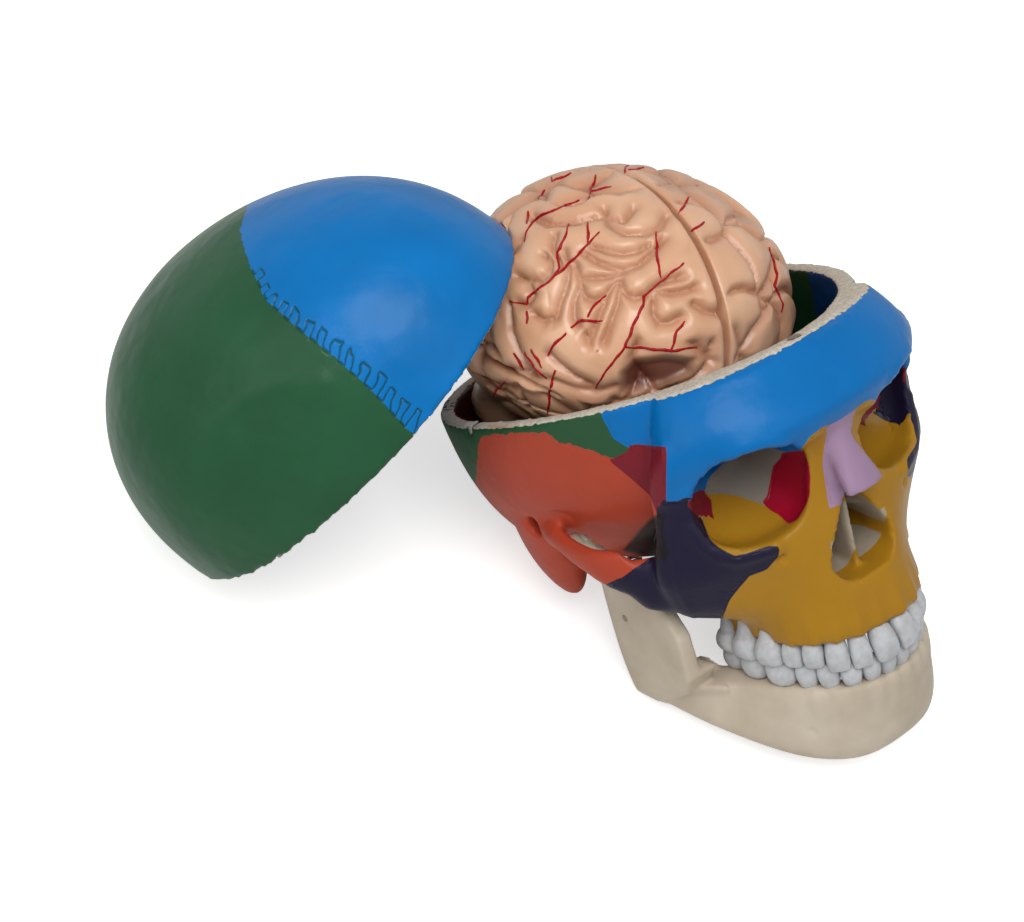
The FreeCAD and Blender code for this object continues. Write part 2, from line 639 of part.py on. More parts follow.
brain_height = cut_height + size["brain_rise_share"] * HOLLOW_EGG["under"]
brain_frame = FreeCAD.Placement(
    V(size["brain_x"], size["cut_centre_y"] + size["brain_y"], brain_height),
    FreeCAD.Rotation(V(0, 0, 1), size["brain_turn"])
    * FreeCAD.Rotation(V(1, 0, 0), size["brain_pitch"])
    * FreeCAD.Rotation(V(0, 1, 0), size["brain_roll"]))


BRAIN_EGG = {
    "half_width": size["brain_width_share"] * HOLLOW_EGG["half_width"],
    "front": size["brain_front_share"] * HOLLOW_EGG["front"],
    "rear": size["brain_rear_share"] * HOLLOW_EGG["rear"],
    "top": size["brain_top_share"] * HOLLOW_EGG["top"],
    "under": size["brain_under_share"] * HOLLOW_EGG["under"], "fullness": 1.0}


def furrow(egg, places, width, depth):
    """A tapering V groove in an egg, along places given in degrees round and up."""
    wires = []
    last = len(places) - 1
    for index, (around, above) in enumerate(places):
        crest = egg_point(egg, around, above)
        before = egg_point(egg, *places[max(index - 1, 0)])
        after = egg_point(egg, *places[min(index + 1, last)])
        normal = (egg_point(egg, around + 1, above) - egg_point(egg, around - 1, above)).cross(
            egg_point(egg, around, above + 1) - egg_point(egg, around, above - 1)).normalize()
        if normal.dot(crest) < 0:
            normal = normal * -1
        side = (after - before).cross(normal).normalize()
        taper = 0.55 if index in (0, last) else 1.0
        root = crest - normal * (depth * taper)
        top = crest + normal * depth
        half = width * taper
        wires.append(Part.makePolygon([root, top + side * half, top - side * half, root]))
    return Part.makeLoft(wires, True, True)


# Furrows of each half: degrees round from the front, degrees up
SULCI = {
    "central": ((150, 76), (118, 60), (95, 42), (82, 24), (74, 8)),
    "precentral": ((100, 72), (74, 56), (62, 38), (58, 20), (52, 4)),
    "postcentral": ((160, 60), (132, 48), (112, 34), (100, 16)),
    "superior_frontal": ((14, 22), (24, 44), (52, 66)),
    "middle_frontal": ((22, 6), (32, 26), (44, 44)),
    "inferior_frontal": ((36, -4), (44, 12), (50, 28)),
    "intraparietal": ((118, 38), (138, 32), (160, 36)),
    "parieto_occipital": ((176, 46), (164, 30), (150, 18)),
    "lateral_fissure": ((34, -22), (58, -14), (84, -4), (108, 8)),
    "superior_temporal": ((52, -36), (80, -24), (108, -12), (130, 2)),
    "middle_temporal": ((64, -50), (92, -40), (122, -28)),
    "angular": ((128, 20), (142, 14), (152, 4)),
    "lateral_occipital": ((140, -10), (156, -4), (170, 6)),
    "lower_occipital": ((134, -28), (152, -22), (168, -14)),
}
LONG_FISSURE = tuple((0.5, above) for above in (-30, 0, 30, 60, 84))
LONG_FISSURE_REAR = tuple((179.5, above) for above in (84, 60, 30, 0, -30))
PARTING = ((-70.0, -26.0), (-30.0, -20.0), (12.0, -14.0), (34.0, 6.0), (52.0, 34.0),
           (90.0, 60.0), (90.0, -90.0), (-70.0, -90.0))


def brain_halves():
    """The right half of the big brain with its furrows, and its mirror image."""
    hollow = ellipsoid(
        stretched(0, 22, -50), 40.0 * stretch_x, 42.0 * stretch_y, 26.0 * stretch_z)
    half_space = level_box((-FAR, -size["part_gap"] / 2), (-FAR, FAR), (-FAR, FAR))
    half = egg_solid(BRAIN_EGG).common(half_space).cut(hollow)
    grooves = [furrow(BRAIN_EGG, places, size["sulcus_width"] / 2, size["sulcus_depth"])
               for places in SULCI.values()]
    for path in (LONG_FISSURE, LONG_FISSURE_REAR):
        grooves.append(furrow(BRAIN_EGG, path, size["fissure_width"] / 2, size["fissure_depth"]))
    return both_sides(half.cut(grooves))


def parting_prism(gap):
    """The space behind and below the parting of front and rear brain parts."""
    points = [stretched(-FAR / 2, y, z) + V(0, gap, -gap) for y, z in PARTING]
    face = Part.Face(Part.makePolygon(points + points[:1]))
    return face.extrude(V(FAR * stretch_x, 0, 0))


CEREBELLUM_MIDDLE = stretched(-19.0, 27.0, -38.0)
CEREBELLUM_EGG = {
    "half_width": 22.5 * stretch_x, "front": 20.0 * stretch_y, "rear": 20.3 * stretch_y,
    "top": 15.0 * stretch_z, "under": 14.3 * stretch_z, "fullness": 1.0}


def cerebellum_half():
    """The ridged small brain under the back, right side."""
    lobe = egg_solid(CEREBELLUM_EGG)
    ridges = [
        furrow(CEREBELLUM_EGG, [(around, above) for around in (60, 95, 130, 165, 195)], 1.0, 1.6)
        for above in (-50, -30, -10, 10, 30)]
    lobe = lobe.cut(ridges)
    lobe.translate(CEREBELLUM_MIDDLE)
    half_space = level_box((-FAR, -size["part_gap"] / 2), (-FAR, FAR), (-FAR, FAR))
    return lobe.common(half_space)


def brainstem_half():
    """The stalk of the brain, right side, down to the hole of the skull."""
    rows = (((0, -14, -22), 14.0, 10.0), ((0, -12, -34), 13.0, 9.0),
            ((0, -7, -46), 14.0, 9.0), ((0, 2, -60), 8.0, 7.0), ((0, 6, -70), 6.5, 6.0))
    wires = [oval(stretched(*centre), V(1, 0, 0), V(0, 1, 0), half_x, half_y)
             for centre, half_x, half_y in rows]
    half_space = level_box((-FAR, -size["part_gap"] / 2), (-FAR, FAR), (-FAR, FAR))
    return blend(wires).common(half_space)


PIN_PLACES = (
    (-22.0 * stretch_y, 20.0 * stretch_z),
    (22.0 * stretch_y, 26.0 * stretch_z),
)


def brain_pieces():
    """All parts of the brain in the brain's frame, by name."""
    gap = size["part_gap"]
    hole_length = size["pin_length"] + size["pin_gap"]
    pin_holes = [
        Part.makeCylinder(size["pin_diameter"] / 2 + size["pin_gap"], hole_length,
                          V(-hole_length / 2, y, z), V(1, 0, 0))
        for y, z in PIN_PLACES]
    around_stem = blend([
        oval(stretched(*centre), V(1, 0, 0), V(0, 1, 0), 14.0 + gap, 10.0 + gap)
        for centre in ((0, -14, -20), (0, -12, -36), (0, 3, -62))])
    around_cerebellum = ellipsoid(
        CEREBELLUM_MIDDLE, CEREBELLUM_EGG["half_width"] + gap,
        CEREBELLUM_EGG["rear"] + gap, CEREBELLUM_EGG["top"] + gap)
    lower_space_cuts = [around_stem] + both_sides(around_cerebellum)
    halves = brain_halves()
    cerebella = both_sides(cerebellum_half().cut(around_stem))
    stems = both_sides(brainstem_half())
    parts = {}
    for index, side_name in enumerate(("right", "left")):
        half = halves[index]
        parts[side_name + "_frontoparietal"] = half.cut([parting_prism(0.0)] + pin_holes)
        rear_part = half.common(parting_prism(gap)).cut(lower_space_cuts)
        parts[side_name + "_temporooccipital"] = rear_part
        parts[side_name + "_cerebellum"] = cerebella[index]
        parts[side_name + "_brainstem"] = stems[index]
    return parts


# Document objects
rest_turn = FreeCAD.Rotation(V(1, 0, 0), -size["rest_pitch"])
unmoved = FreeCAD.Placement()
pieces = []


def add_feature(label, shape, place):
    piece = document.addObject("Part::Feature", label)
    piece.Shape = shape
    piece.Placement = place
    pieces.append(piece)
    return piece


def add_cylinder(name, radius, height):
    """A cylinder bound to the sheet by two expressions."""
    cylinder = document.addObject("Part::Cylinder", name)
    cylinder.setExpression("Radius", radius)
    cylinder.setExpression("Height", height)
    return cylinder


def add_cut(name, outer, inner):
    """A sleeve: one cylinder less another."""
    sleeve = document.addObject("Part::Cut", name)
    sleeve.Base = outer
    sleeve.Tool = inner
    pieces.append(sleeve)
    return sleeve


def add_group(label, members, place):
    group = document.addObject("Part::Compound", label)
    group.Links = members
    group.Placement = place
    pieces.append(group)
    return group


add_feature("skull_base", skull_base_shape(), unmoved)
add_feature("mandible", mandible_shape(), unmoved)
for tooth_name, tooth in teeth.items():
    add_feature(tooth_name, tooth, unmoved)

cap_turn = (
    FreeCAD.Rotation(V(0, 0, 1), size["cap_turn"])
    * FreeCAD.Rotation(V(1, 0, 0), -size["cap_pitch"])
    * FreeCAD.Rotation(V(0, 1, 0), -size["cap_roll"]))
CAP_PIVOT = V(0, 0, 60.0)
cap_shape = skull_cap_shape()


def cap_place_at(step_up):
    """The loose cap turned about its pivot and set aside, this far up."""
    lift = rest_turn.inverted().multVec(V(0, 0, step_up))
    step = V(-size["cap_right"], size["cap_back"], 0) + lift
    return (FreeCAD.Placement(CAP_PIVOT + step, cap_turn)
            * FreeCAD.Placement(CAP_PIVOT * -1, FreeCAD.Rotation()) * cut_frame)


def lowest(shape, place):
    """Lowest point over the table of a solid that stands in the skull's frame."""
    stood = shape.copy()
    stood.Placement = FreeCAD.Placement(V(), rest_turn) * place * stood.Placement
    return stood.optimalBoundingBox(False, False).ZMin


table_level = min(lowest(piece.Shape, unmoved) for piece in pieces[:2])
cap_place = cap_place_at(table_level - lowest(cap_shape, cap_place_at(0.0)))
add_feature("skull_cap", cap_shape, cap_place)

# The soft brain gives way by a little where the loose cap leans on it
LEANING_EGG = dict(CASE_EGG)
for extent in ("half_width", "front", "rear", "top"):
    LEANING_EGG[extent] += size["lean_gap"]
leaning_cap = egg_solid(LEANING_EGG).common(upper_space)
leaning_cap.Placement = brain_frame.inverse() * cap_place
for brain_name, brain_part in brain_pieces().items():
    if brain_name in ("right_frontoparietal", "right_temporooccipital"):
        brain_part = brain_part.cut(leaning_cap)
    add_feature(brain_name, brain_part, brain_frame)

# Closing magnets of the rim and of the cap
for group_name, frame, sense in (("rim_magnets", cut_frame, -1), ("cap_magnets", cap_place, 1)):
    members = []
    for index, place in enumerate(MAGNET_PLACES):
        magnet = add_cylinder(
            "%s_%d" % (group_name, index), "Sizes.magnet_diameter / 2", "Sizes.magnet_length")
        start = place if sense > 0 else place - V(0, 0, size["magnet_length"])
        magnet.Placement = FreeCAD.Placement(start, FreeCAD.Rotation())
        members.append(magnet)
    add_group(group_name, members, frame)

# Pins between the halves of the brain
pins = []
for index, (y, z) in enumerate(PIN_PLACES):
    pin = add_cylinder("brain_pin_%d" % index, "Sizes.pin_diameter / 2", "Sizes.pin_length")
    pin.Placement = FreeCAD.Placement(
        V(-size["pin_length"] / 2, y, z), FreeCAD.Rotation(V(0, 1, 0), 90))
    pins.append(pin)
add_group("brain_pins", pins, brain_frame)

# Clear pads between jaw heads and skull: upper half of a sleeve
for side_name, side in (("right", -1), ("left", 1)):
    inner_radius = "Sizes.condyle_radius + Sizes.joint_gap"
    outer_radius = inner_radius + " + Sizes.pad_thickness"
    outer = add_cylinder("pad_outer_" + side_name, outer_radius, "Sizes.condyle_length")
    inner = add_cylinder("pad_inner_" + side_name, inner_radius, "Sizes.condyle_length")
    for cylinder in (outer, inner):
        cylinder.Angle = 180
        cylinder.Placement = FreeCAD.Placement(
            hinge_point(side) - V(size["condyle_length"] / 2, 0, 0),
            FreeCAD.Rotation(V(0, 1, 0), 90) * FreeCAD.Rotation(V(0, 0, 1), 90))
    add_cut(side_name + "_joint_pad", outer, inner)

# Screws of the jaw springs, one pair in the skull and one in the jaw
for screw_name, seat, direction in SCREWS:
    screws = []
    for side_name, side in (("right", -1), ("left", 1)):
        place = V(side * seat.x, seat.y, seat.z)
        point = V(side * direction.x, direction.y, direction.z)
        stem = "%s_%s" % (screw_name, side_name)
        thread = add_cylinder(stem + "_thread", "Sizes.screw_diameter / 2", "Sizes.screw_length")
        head = add_cylinder(stem + "_head", "Sizes.screw_head / 2", "Sizes.head_height")
        turn = FreeCAD.Rotation(V(0, 0, 1), point)
        thread.Placement = FreeCAD.Placement(place, turn)
        head.Placement = FreeCAD.Placement(place - point * size["head_height"], turn)
        screw = document.addObject("Part::Fuse", stem + "_screw")
        screw.Base = thread
        screw.Tool = head
        screws.append(screw)
    add_group(screw_name + "_screws", screws, unmoved)

# Jaw springs: each stands between the heads of its two screws
for side_name, side in (("right", -1), ("left", 1)):
    start = skull_screw_seat - V(0, 0, size["head_height"])
    finish = jaw_screw_seat - V(size["head_height"] + size["spring_diameter"] / 2, 0, 0)
    start = V(side * start.x, start.y, start.z)
    finish = V(side * finish.x, finish.y, finish.z)
    line = (finish - start).normalize()
    lean = math.sqrt(1 - line.z ** 2)
    set_off = size["spring_gap"] + lean * size["spring_diameter"] / 2
    start = start + line * (set_off / abs(line.z))
    spring_length = str((finish - start).Length)
    outer_radius = "Sizes.spring_diameter / 2"
    inner_radius = outer_radius + " - Sizes.spring_wire"
    outer = add_cylinder("spring_outer_" + side_name, outer_radius, spring_length)
    inner = add_cylinder("spring_inner_" + side_name, inner_radius, spring_length)
    for cylinder in (outer, inner):
        cylinder.Placement = FreeCAD.Placement(start, FreeCAD.Rotation(V(0, 0, 1), line))
    add_cut(side_name + "_jaw_spring", outer, inner)

document.recompute()

# Rest: the skull leans back, its lowest point on the table, its middle over the origin
whole = Part.makeCompound([piece.Shape for piece in pieces])
whole.rotate(V(0, 0, 0), V(1, 0, 0), -size["rest_pitch"])
box = whole.optimalBoundingBox(False, False)
rest = FreeCAD.Placement(
    V(-box.Center.x, -box.Center.y, -box.ZMin), rest_turn)
for piece in pieces:
    piece.Placement = rest * piece.Placement
document.recompute()

# Every object must have built before a file is written
for item in document.Objects:
    if "Invalid" in item.State or "Error" in item.State:
        raise RuntimeError("%s did not build" % item.Label)
for piece in pieces:
    if piece.Shape.isNull() or not piece.Shape.isValid():
        raise RuntimeError("%s is not a valid shape" % piece.Label)

os.makedirs("parts", exist_ok=True)
for piece in pieces:
    piece.Shape.exportStep(os.path.join("parts", piece.Label + ".step"))
    print(piece.Label, len(piece.Shape.Solids), round(piece.Shape.Volume / 1000, 2), "cm3")
print("jaw axis", rest.multVec(hinge_point(0)))
print("size", box.XLength, box.YLength, box.ZLength)
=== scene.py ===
import json
import math

import bmesh
import bpy
import numpy as np
from mathutils import Matrix, Vector, noise as field
from mathutils.bvhtree import BVHTree
from mathutils.kdtree import KDTree


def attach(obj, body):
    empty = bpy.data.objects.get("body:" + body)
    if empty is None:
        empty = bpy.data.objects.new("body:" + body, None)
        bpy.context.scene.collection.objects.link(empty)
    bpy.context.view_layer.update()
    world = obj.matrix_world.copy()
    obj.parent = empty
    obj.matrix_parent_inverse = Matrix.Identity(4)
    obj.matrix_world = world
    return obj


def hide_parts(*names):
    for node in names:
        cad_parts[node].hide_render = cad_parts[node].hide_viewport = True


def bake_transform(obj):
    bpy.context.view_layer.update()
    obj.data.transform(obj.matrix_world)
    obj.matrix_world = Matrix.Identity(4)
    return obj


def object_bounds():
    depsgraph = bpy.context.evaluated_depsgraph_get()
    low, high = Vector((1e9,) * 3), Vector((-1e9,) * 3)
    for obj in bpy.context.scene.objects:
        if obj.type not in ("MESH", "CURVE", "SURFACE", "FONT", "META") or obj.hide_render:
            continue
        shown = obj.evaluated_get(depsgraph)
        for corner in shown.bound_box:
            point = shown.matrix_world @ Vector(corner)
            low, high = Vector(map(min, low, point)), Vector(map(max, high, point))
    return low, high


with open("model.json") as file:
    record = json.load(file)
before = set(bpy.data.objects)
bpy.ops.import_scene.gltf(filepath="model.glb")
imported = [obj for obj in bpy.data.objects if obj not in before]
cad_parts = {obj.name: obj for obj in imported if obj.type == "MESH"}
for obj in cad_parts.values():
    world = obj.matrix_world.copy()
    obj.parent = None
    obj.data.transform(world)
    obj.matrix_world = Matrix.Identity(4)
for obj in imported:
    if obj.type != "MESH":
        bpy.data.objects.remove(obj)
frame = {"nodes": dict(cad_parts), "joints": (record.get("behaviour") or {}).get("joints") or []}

bl_info = {
    "name": "Brain anatomy model",
    "version": (1, 0, 0),
    "blender": (4, 5, 0),
    "location": "View3D > Sidebar > Anatomy",
    "description": "Painted skull with its cap off, a soft brain and a hinged jaw",
    "category": "Object",
}

CAD_BOX = [list(corner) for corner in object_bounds()]
MM = 0.001

# The skull's own frame: origin between the ear canals, x left, y back, z up.
# It leans back on the table, and the jaw hinge fixes its place.
REST_TURN = Matrix.Rotation(math.radians(-30.0), 3, "X")
HINGE_IN_SKULL = Vector((0.0, -12.0, -3.0))
HINGE = Vector(frame["joints"][0]["pos_m"])
SKULL_ORIGIN = HINGE - REST_TURN @ HINGE_IN_SKULL * MM

# The camera of the photograph, in the skull's frame and the picture's pixels
PICTURE_WIDTH = 1024
PICTURE_CENTRE = (512.0, 461.0)
FOCAL_PIXELS = 1819.3
CAMERA_PLACE = Vector((-326.75, -485.26, 280.34))
CAMERA_HEADING = math.radians(41.73)
CAMERA_DOWN = math.radians(49.57)
CAMERA_ROLL = math.radians(4.97)
PIXELS_PER_MM = 2.75
SENSOR_WIDTH = 36.0

# Frame of the saw cut, as in the part's source
CUT_MIDDLE = Vector((0.0, 15.0, 39.075))
CUT_TURN = Matrix.Rotation(math.radians(-11.4), 3, "X")

# Frame of the loose brain
BRAIN_MIDDLE = Vector((2.4, 17.2, 50.43))
BRAIN_TURN = (
    Matrix.Rotation(math.radians(-4.6), 3, "Z")
    @ Matrix.Rotation(math.radians(5.7), 3, "X")
    @ Matrix.Rotation(math.radians(14.0), 3, "Y"))

# Eggs of the big brain, the vault's outside and the skull's hollow, which is open at its top:
# half width, reach to the front, to the rear, up and down, in millimetres
BRAIN_EGG = (61.0, 63.6, 59.2, 50.1, 44.0)
VAULT_EGG = (69.9, 98.4, 71.2, 74.0, 74.0)
HOLLOW_EGG = (67.2, 94.7, 68.5, math.inf, 67.4)

# Place of the loose cap: turned about its pivot, set aside and lifted on to the table
CAP_TURN = (
    Matrix.Rotation(math.radians(37.4), 3, "Z")
    @ Matrix.Rotation(math.radians(-15.9), 3, "X")
    @ Matrix.Rotation(math.radians(-17.4), 3, "Y"))
CAP_PIVOT = Vector((0.0, 0.0, 60.0))
CAP_STEP = Vector((-94.0, 63.6, 0.0))
CAP_LIFT = 9.26
CAP_OFFSET = CAP_PIVOT + CAP_STEP + REST_TURN.inverted() @ Vector((0.0, 0.0, CAP_LIFT))

# Middle of the bow that the teeth stand on: this far in front of the ear canals
TOOTH_BOW = 42.0


def camera_axes():
    """Right, up and forward of the photograph's camera, in the row's frame."""
    forward = Vector((math.sin(CAMERA_HEADING) * math.cos(CAMERA_DOWN),
                      math.cos(CAMERA_HEADING) * math.cos(CAMERA_DOWN),
                      -math.sin(CAMERA_DOWN)))
    level = forward.cross(Vector((0, 0, 1))).normalized()
    upright = level.cross(forward)
    right = level * math.cos(CAMERA_ROLL) + upright * math.sin(CAMERA_ROLL)
    return right, right.cross(forward), forward


RIGHT, UP, FORWARD = camera_axes()
EYE = SKULL_ORIGIN + REST_TURN @ CAMERA_PLACE * MM


# Choices in the sidebar
def colour(hex_code):
    """A colour written as sRGB hex, as Blender's linear numbers."""
    channels = [int(hex_code[place:place + 2], 16) / 255 for place in (1, 3, 5)]
    linear = [c / 12.92 if c <= 0.04045 else ((c + 0.055) / 1.055) ** 2.4 for c in channels]
    return (*linear, 1.0)


def colour_choice(name, description, hex_code):
    return bpy.props.FloatVectorProperty(
        name=name, description=description, size=4, subtype="COLOR", min=0.0, max=1.0,
        default=colour(hex_code))


def length_choice(name, description, millimetres, longest):
    return bpy.props.FloatProperty(
        name=name, description=description, unit="LENGTH", subtype="DISTANCE",
        min=0.0, max=longest * MM, default=millimetres * MM, precision=5)


class SkullChoices(bpy.types.PropertyGroup):
    frontal: colour_choice("Forehead bone", "Paint of the forehead bone", "#036EB5")
    parietal: colour_choice("Side wall bone", "Paint of the bone behind the forehead", "#2A5436")
    temporal: colour_choice("Temple bone", "Paint of the bone round the ear", "#B4452E")
    sphenoid: colour_choice("Wing bone", "Paint of the bone behind the eye socket", "#7A1A28")
    maxilla: colour_choice("Upper jaw bone", "Paint of the upper jaw", "#A97A1C")
    zygomatic: colour_choice("Cheek bone", "Paint of the cheek bone", "#1B1730")
    nasal: colour_choice("Nose bone", "Paint of the bridge of the nose", "#A284A0")
    lacrimal: colour_choice("Tear bone", "Paint of the small bone inside the eye socket", "#A00E2A")
    ethmoid: colour_choice("Sieve bone", "Paint of the wall between the eyes", "#8E867A")
    occipital: colour_choice("Rear bone", "Paint of the back of the skull", "#7A5A40")
    casting: colour_choice("Casting", "Bare plastic of the saw cut and nose", "#CFC4B2")
    grain: length_choice("Mesh grain", "Step of the even mesh of the skull", 1.25, 5.0)


class CapChoices(bpy.types.PropertyGroup):
    front: colour_choice("Front", "Paint of the front of the cap", "#0373BB")
    rear: colour_choice("Rear", "Paint of the rear of the cap", "#235436")
    stroke_gap: length_choice(
        "Seam strokes", "Step between the strokes of the engraved seam", 2.8, 8.0)
    grain: length_choice("Mesh grain", "Step of the even mesh of the cap", 1.3, 5.0)


class JawChoices(bpy.types.PropertyGroup):
    ivory: colour_choice("Ivory", "Light tone of the bare jaw", "#CDC0AD")
    shade: colour_choice("Shade", "Darker tone of the bare jaw", "#B8A994")
    tooth: colour_choice("Teeth", "Light tone of the teeth", "#C6C8CB")
    neck: colour_choice("Tooth necks", "Darker tone of the teeth", "#B6B7B8")
    grain: length_choice("Mesh grain", "Step of the even mesh of the jaw", 1.0, 5.0)


class BrainChoices(bpy.types.PropertyGroup):
    flesh: colour_choice("Flesh", "Light tone of the soft brain", "#EABC98")
    warm: colour_choice("Warm flesh", "Second tone of the soft brain", "#DFAA84")
    # Furrow tone: painted shade in the creases of the brain
    hollow: colour_choice("Furrows", "Tone in the furrows of the brain", "#9A5234")
    artery: colour_choice("Arteries", "Enamel of the arteries", "#A80A16")
    furrow_depth: length_choice("Furrow depth", "Depth of the furrows of the brain", 4.8, 8.0)
    furrow_reach: length_choice("Furrow reach", "Half width of the furrows of the brain", 5.2, 12.0)
    artery_width: length_choice("Artery width", "Widest part of the painted arteries", 1.15, 3.0)
    grain: length_choice("Mesh grain", "Step of the even mesh of the brain", 0.9, 5.0)


class FittingChoices(bpy.types.PropertyGroup):
    steel: colour_choice("Plated steel", "Magnets, screws and springs", "#8C8680")
    cushion: colour_choice("Clear cushion", "Pads of the jaw joint", "#DDD3C2")
    wire: length_choice("Spring wire", "Thickness of the spring wire", 0.8, 2.0)
    spring_turns: bpy.props.IntProperty(
        name="Spring turns", description="Turns of each jaw spring", min=4, max=40, default=16)


class StageChoices(bpy.types.PropertyGroup):
    floor: colour_choice("Floor", "Card that the model stands on", "#F4F3F0")
    lamp_level: bpy.props.FloatProperty(
        name="Lamp level", description="Strength of all lamps together",
        min=0.0, max=5.0, default=1.0)


CHOICES = (
    ("anatomy_skull", SkullChoices), ("anatomy_cap", CapChoices), ("anatomy_jaw", JawChoices),
    ("anatomy_brain", BrainChoices), ("anatomy_fittings", FittingChoices),
    ("anatomy_stage", StageChoices))


# Frames, picture and measures
def in_skull(points):
    """Points of the row's frame, in metres, as millimetres in the skull's frame."""
    return (points - np.array(SKULL_ORIGIN)) @ np.array(REST_TURN) / MM


def from_skull(points):
    return points @ np.array(REST_TURN).T * MM + np.array(SKULL_ORIGIN)


def in_brain(points):
    """Points of the row's frame as millimetres in the loose brain's frame."""
    return (in_skull(points) - np.array(BRAIN_MIDDLE)) @ np.array(BRAIN_TURN)


def from_brain(points):
    return from_skull(points @ np.array(BRAIN_TURN).T + np.array(BRAIN_MIDDLE))


def over_cut(skull_points):
    """Points of the skull's frame in the frame of its saw cut, z above the cut."""
    return (skull_points - np.array(CUT_MIDDLE)) @ np.array(CUT_TURN)


def ramp(values, start, width):
    """0 up to the start, 1 from a width further on, and even between them.

    A negative width runs the other way.
    """
    return np.clip((values - start) / width, 0, 1)


def egg_share(points, egg):
    """How far out points stand in the frame of an egg's middle, 1 on the egg."""
    half_width, front, rear, top, under = egg
    length = np.where(points[:, 1] < 0, front, rear)
    height = np.where(points[:, 2] > 0, top, under)
    return np.sqrt((points[:, 0] / half_width) ** 2 + (points[:, 1] / length) ** 2
                   + (points[:, 2] / height) ** 2)


def in_cap(points):
    """Points of the row's frame in the loose cap's own frame of the saw cut."""
    closed = (in_skull(points) - np.array(CAP_OFFSET)) @ np.array(CAP_TURN)
    return over_cut(closed + np.array(CAP_PIVOT))


def in_picture(points):
    """Where points of the row's frame show in the photograph, in its pixels."""
    seen = points - np.array(EYE)
    depth = seen @ np.array(FORWARD)
    across = FOCAL_PIXELS * (seen @ np.array(RIGHT)) / depth + PICTURE_CENTRE[0]
    down = PICTURE_CENTRE[1] - FOCAL_PIXELS * (seen @ np.array(UP)) / depth
    return np.stack([across, down], axis=1)


def sight_line(pixel):
    """Direction in which the photograph's camera sees a pixel."""
    across = (pixel[0] - PICTURE_CENTRE[0]) / FOCAL_PIXELS
    down = (pixel[1] - PICTURE_CENTRE[1]) / FOCAL_PIXELS
    return (FORWARD + RIGHT * across - UP * down).normalized()


def walked(pixels, step):
    """Pixels along a line through the given ones, about a step apart."""
    line = []
    for (x0, y0), (x1, y1) in zip(pixels, pixels[1:]):
        count = max(1, round(math.hypot(x1 - x0, y1 - y0) / step))
        line += [(x0 + (x1 - x0) * k / count, y0 + (y1 - y0) * k / count) for k in range(count)]
    return line + [pixels[-1]]


def traced(pixels, tree, step):
    """A line drawn on the photograph, laid on the surface that it shows."""
    places = [tree.ray_cast(EYE, sight_line(pixel))[0] for pixel in walked(pixels, step)]
    return [place for place in places if place is not None]


# Meshes
def new_object(name, mesh):
    piece = bpy.data.objects.new(name, mesh)
    bpy.context.scene.collection.objects.link(piece)
    return piece


def finish_modifiers(piece):
    """The piece's mesh as its modifiers leave it."""
    graph = bpy.context.evaluated_depsgraph_get()
    finished = bpy.data.meshes.new_from_object(piece.evaluated_get(graph))
    piece.modifiers.clear()
    piece.data = finished
    piece.data.name = piece.name
    piece.data.shade_smooth()


def cast_copy(name, node, grain, smoothing):
    """An even, softened copy of a CAD solid, as a casting has."""
    shell = bmesh.new()
    shell.from_mesh(frame["nodes"][node].data)
    bmesh.ops.remove_doubles(shell, verts=shell.verts, dist=0.002 * MM)
    mesh = bpy.data.meshes.new(name)
    shell.to_mesh(mesh)
    shell.free()
    piece = new_object(name, mesh)
    even = piece.modifiers.new("Even", "REMESH")
    even.mode = "VOXEL"
    even.voxel_size = grain
    soften(piece, smoothing)
    return piece


def soften(piece, rounds):
    """Evens out the mesh, after any modifier that the piece has already."""
    soft = piece.modifiers.new("Soft", "SMOOTH")
    soft.factor = 0.5
    soft.iterations = rounds
    finish_modifiers(piece)


def mesh_numbers(piece, key):
    """The place or the normal of each point of the mesh, as an array."""
    flat = np.empty(len(piece.data.vertices) * 3)
    piece.data.vertices.foreach_get(key, flat)
    return flat.reshape(-1, 3)


def move_to(piece, points):
    piece.data.vertices.foreach_set("co", points.ravel())
    piece.data.update()


def keep(piece, name, values):
    """Stores a number for each point of the mesh, for its material to read."""
    attribute = piece.data.attributes.new(name, "FLOAT", "POINT")
    attribute.data.foreach_set("value", values.astype(np.float32))


def surface_tree(piece):
    shell = bmesh.new()
    shell.from_mesh(piece.data)
    tree = BVHTree.FromBMesh(shell)
    shell.free()
    return tree


def depth_inside(flat_points, outline):
    """Distance to a closed outline, above zero inside it."""
    inside = np.zeros(len(flat_points), bool)
    nearest = np.full(len(flat_points), 1e9)
    corners = np.array(outline, float)
    for start, end in zip(corners, np.roll(corners, -1, axis=0)):
        span = end - start
        share = np.clip((flat_points - start) @ span / (span @ span), 0, 1)
        off = flat_points - start - share[:, None] * span
        nearest = np.minimum(nearest, np.hypot(off[:, 0], off[:, 1]))
        crosses = (start[1] > flat_points[:, 1]) != (end[1] > flat_points[:, 1])
        rise = np.where(abs(span[1]) < 1e-9, 1e-9, span[1])
        reach = start[0] + (flat_points[:, 1] - start[1]) * span[0] / rise
        inside ^= crosses & (flat_points[:, 0] < reach)
    return np.where(inside, nearest, -nearest)


def line_distance(points, lines):
    """Distance of each point to the nearest of some lines, in millimetres."""
    spots = [spot for line in lines for spot in line]
    tree = KDTree(len(spots))
    for index, spot in enumerate(spots):
        tree.insert(spot, index)
    tree.balance()
    return np.array([tree.find(point)[2] for point in points]) / MM


def dress(piece, material, slot, body, *nodes):
    """Finish of a piece: its material, the solids it stands for and its body. The slot is not used.
    """
    piece.data.materials.clear()
    piece.data.materials.append(material)
    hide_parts(*nodes)
    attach(piece, body)


# Materials
MIXED_COLOUR = {"output": 2, "data_type": "RGBA"}
SATIN_SPECULAR = 0.17


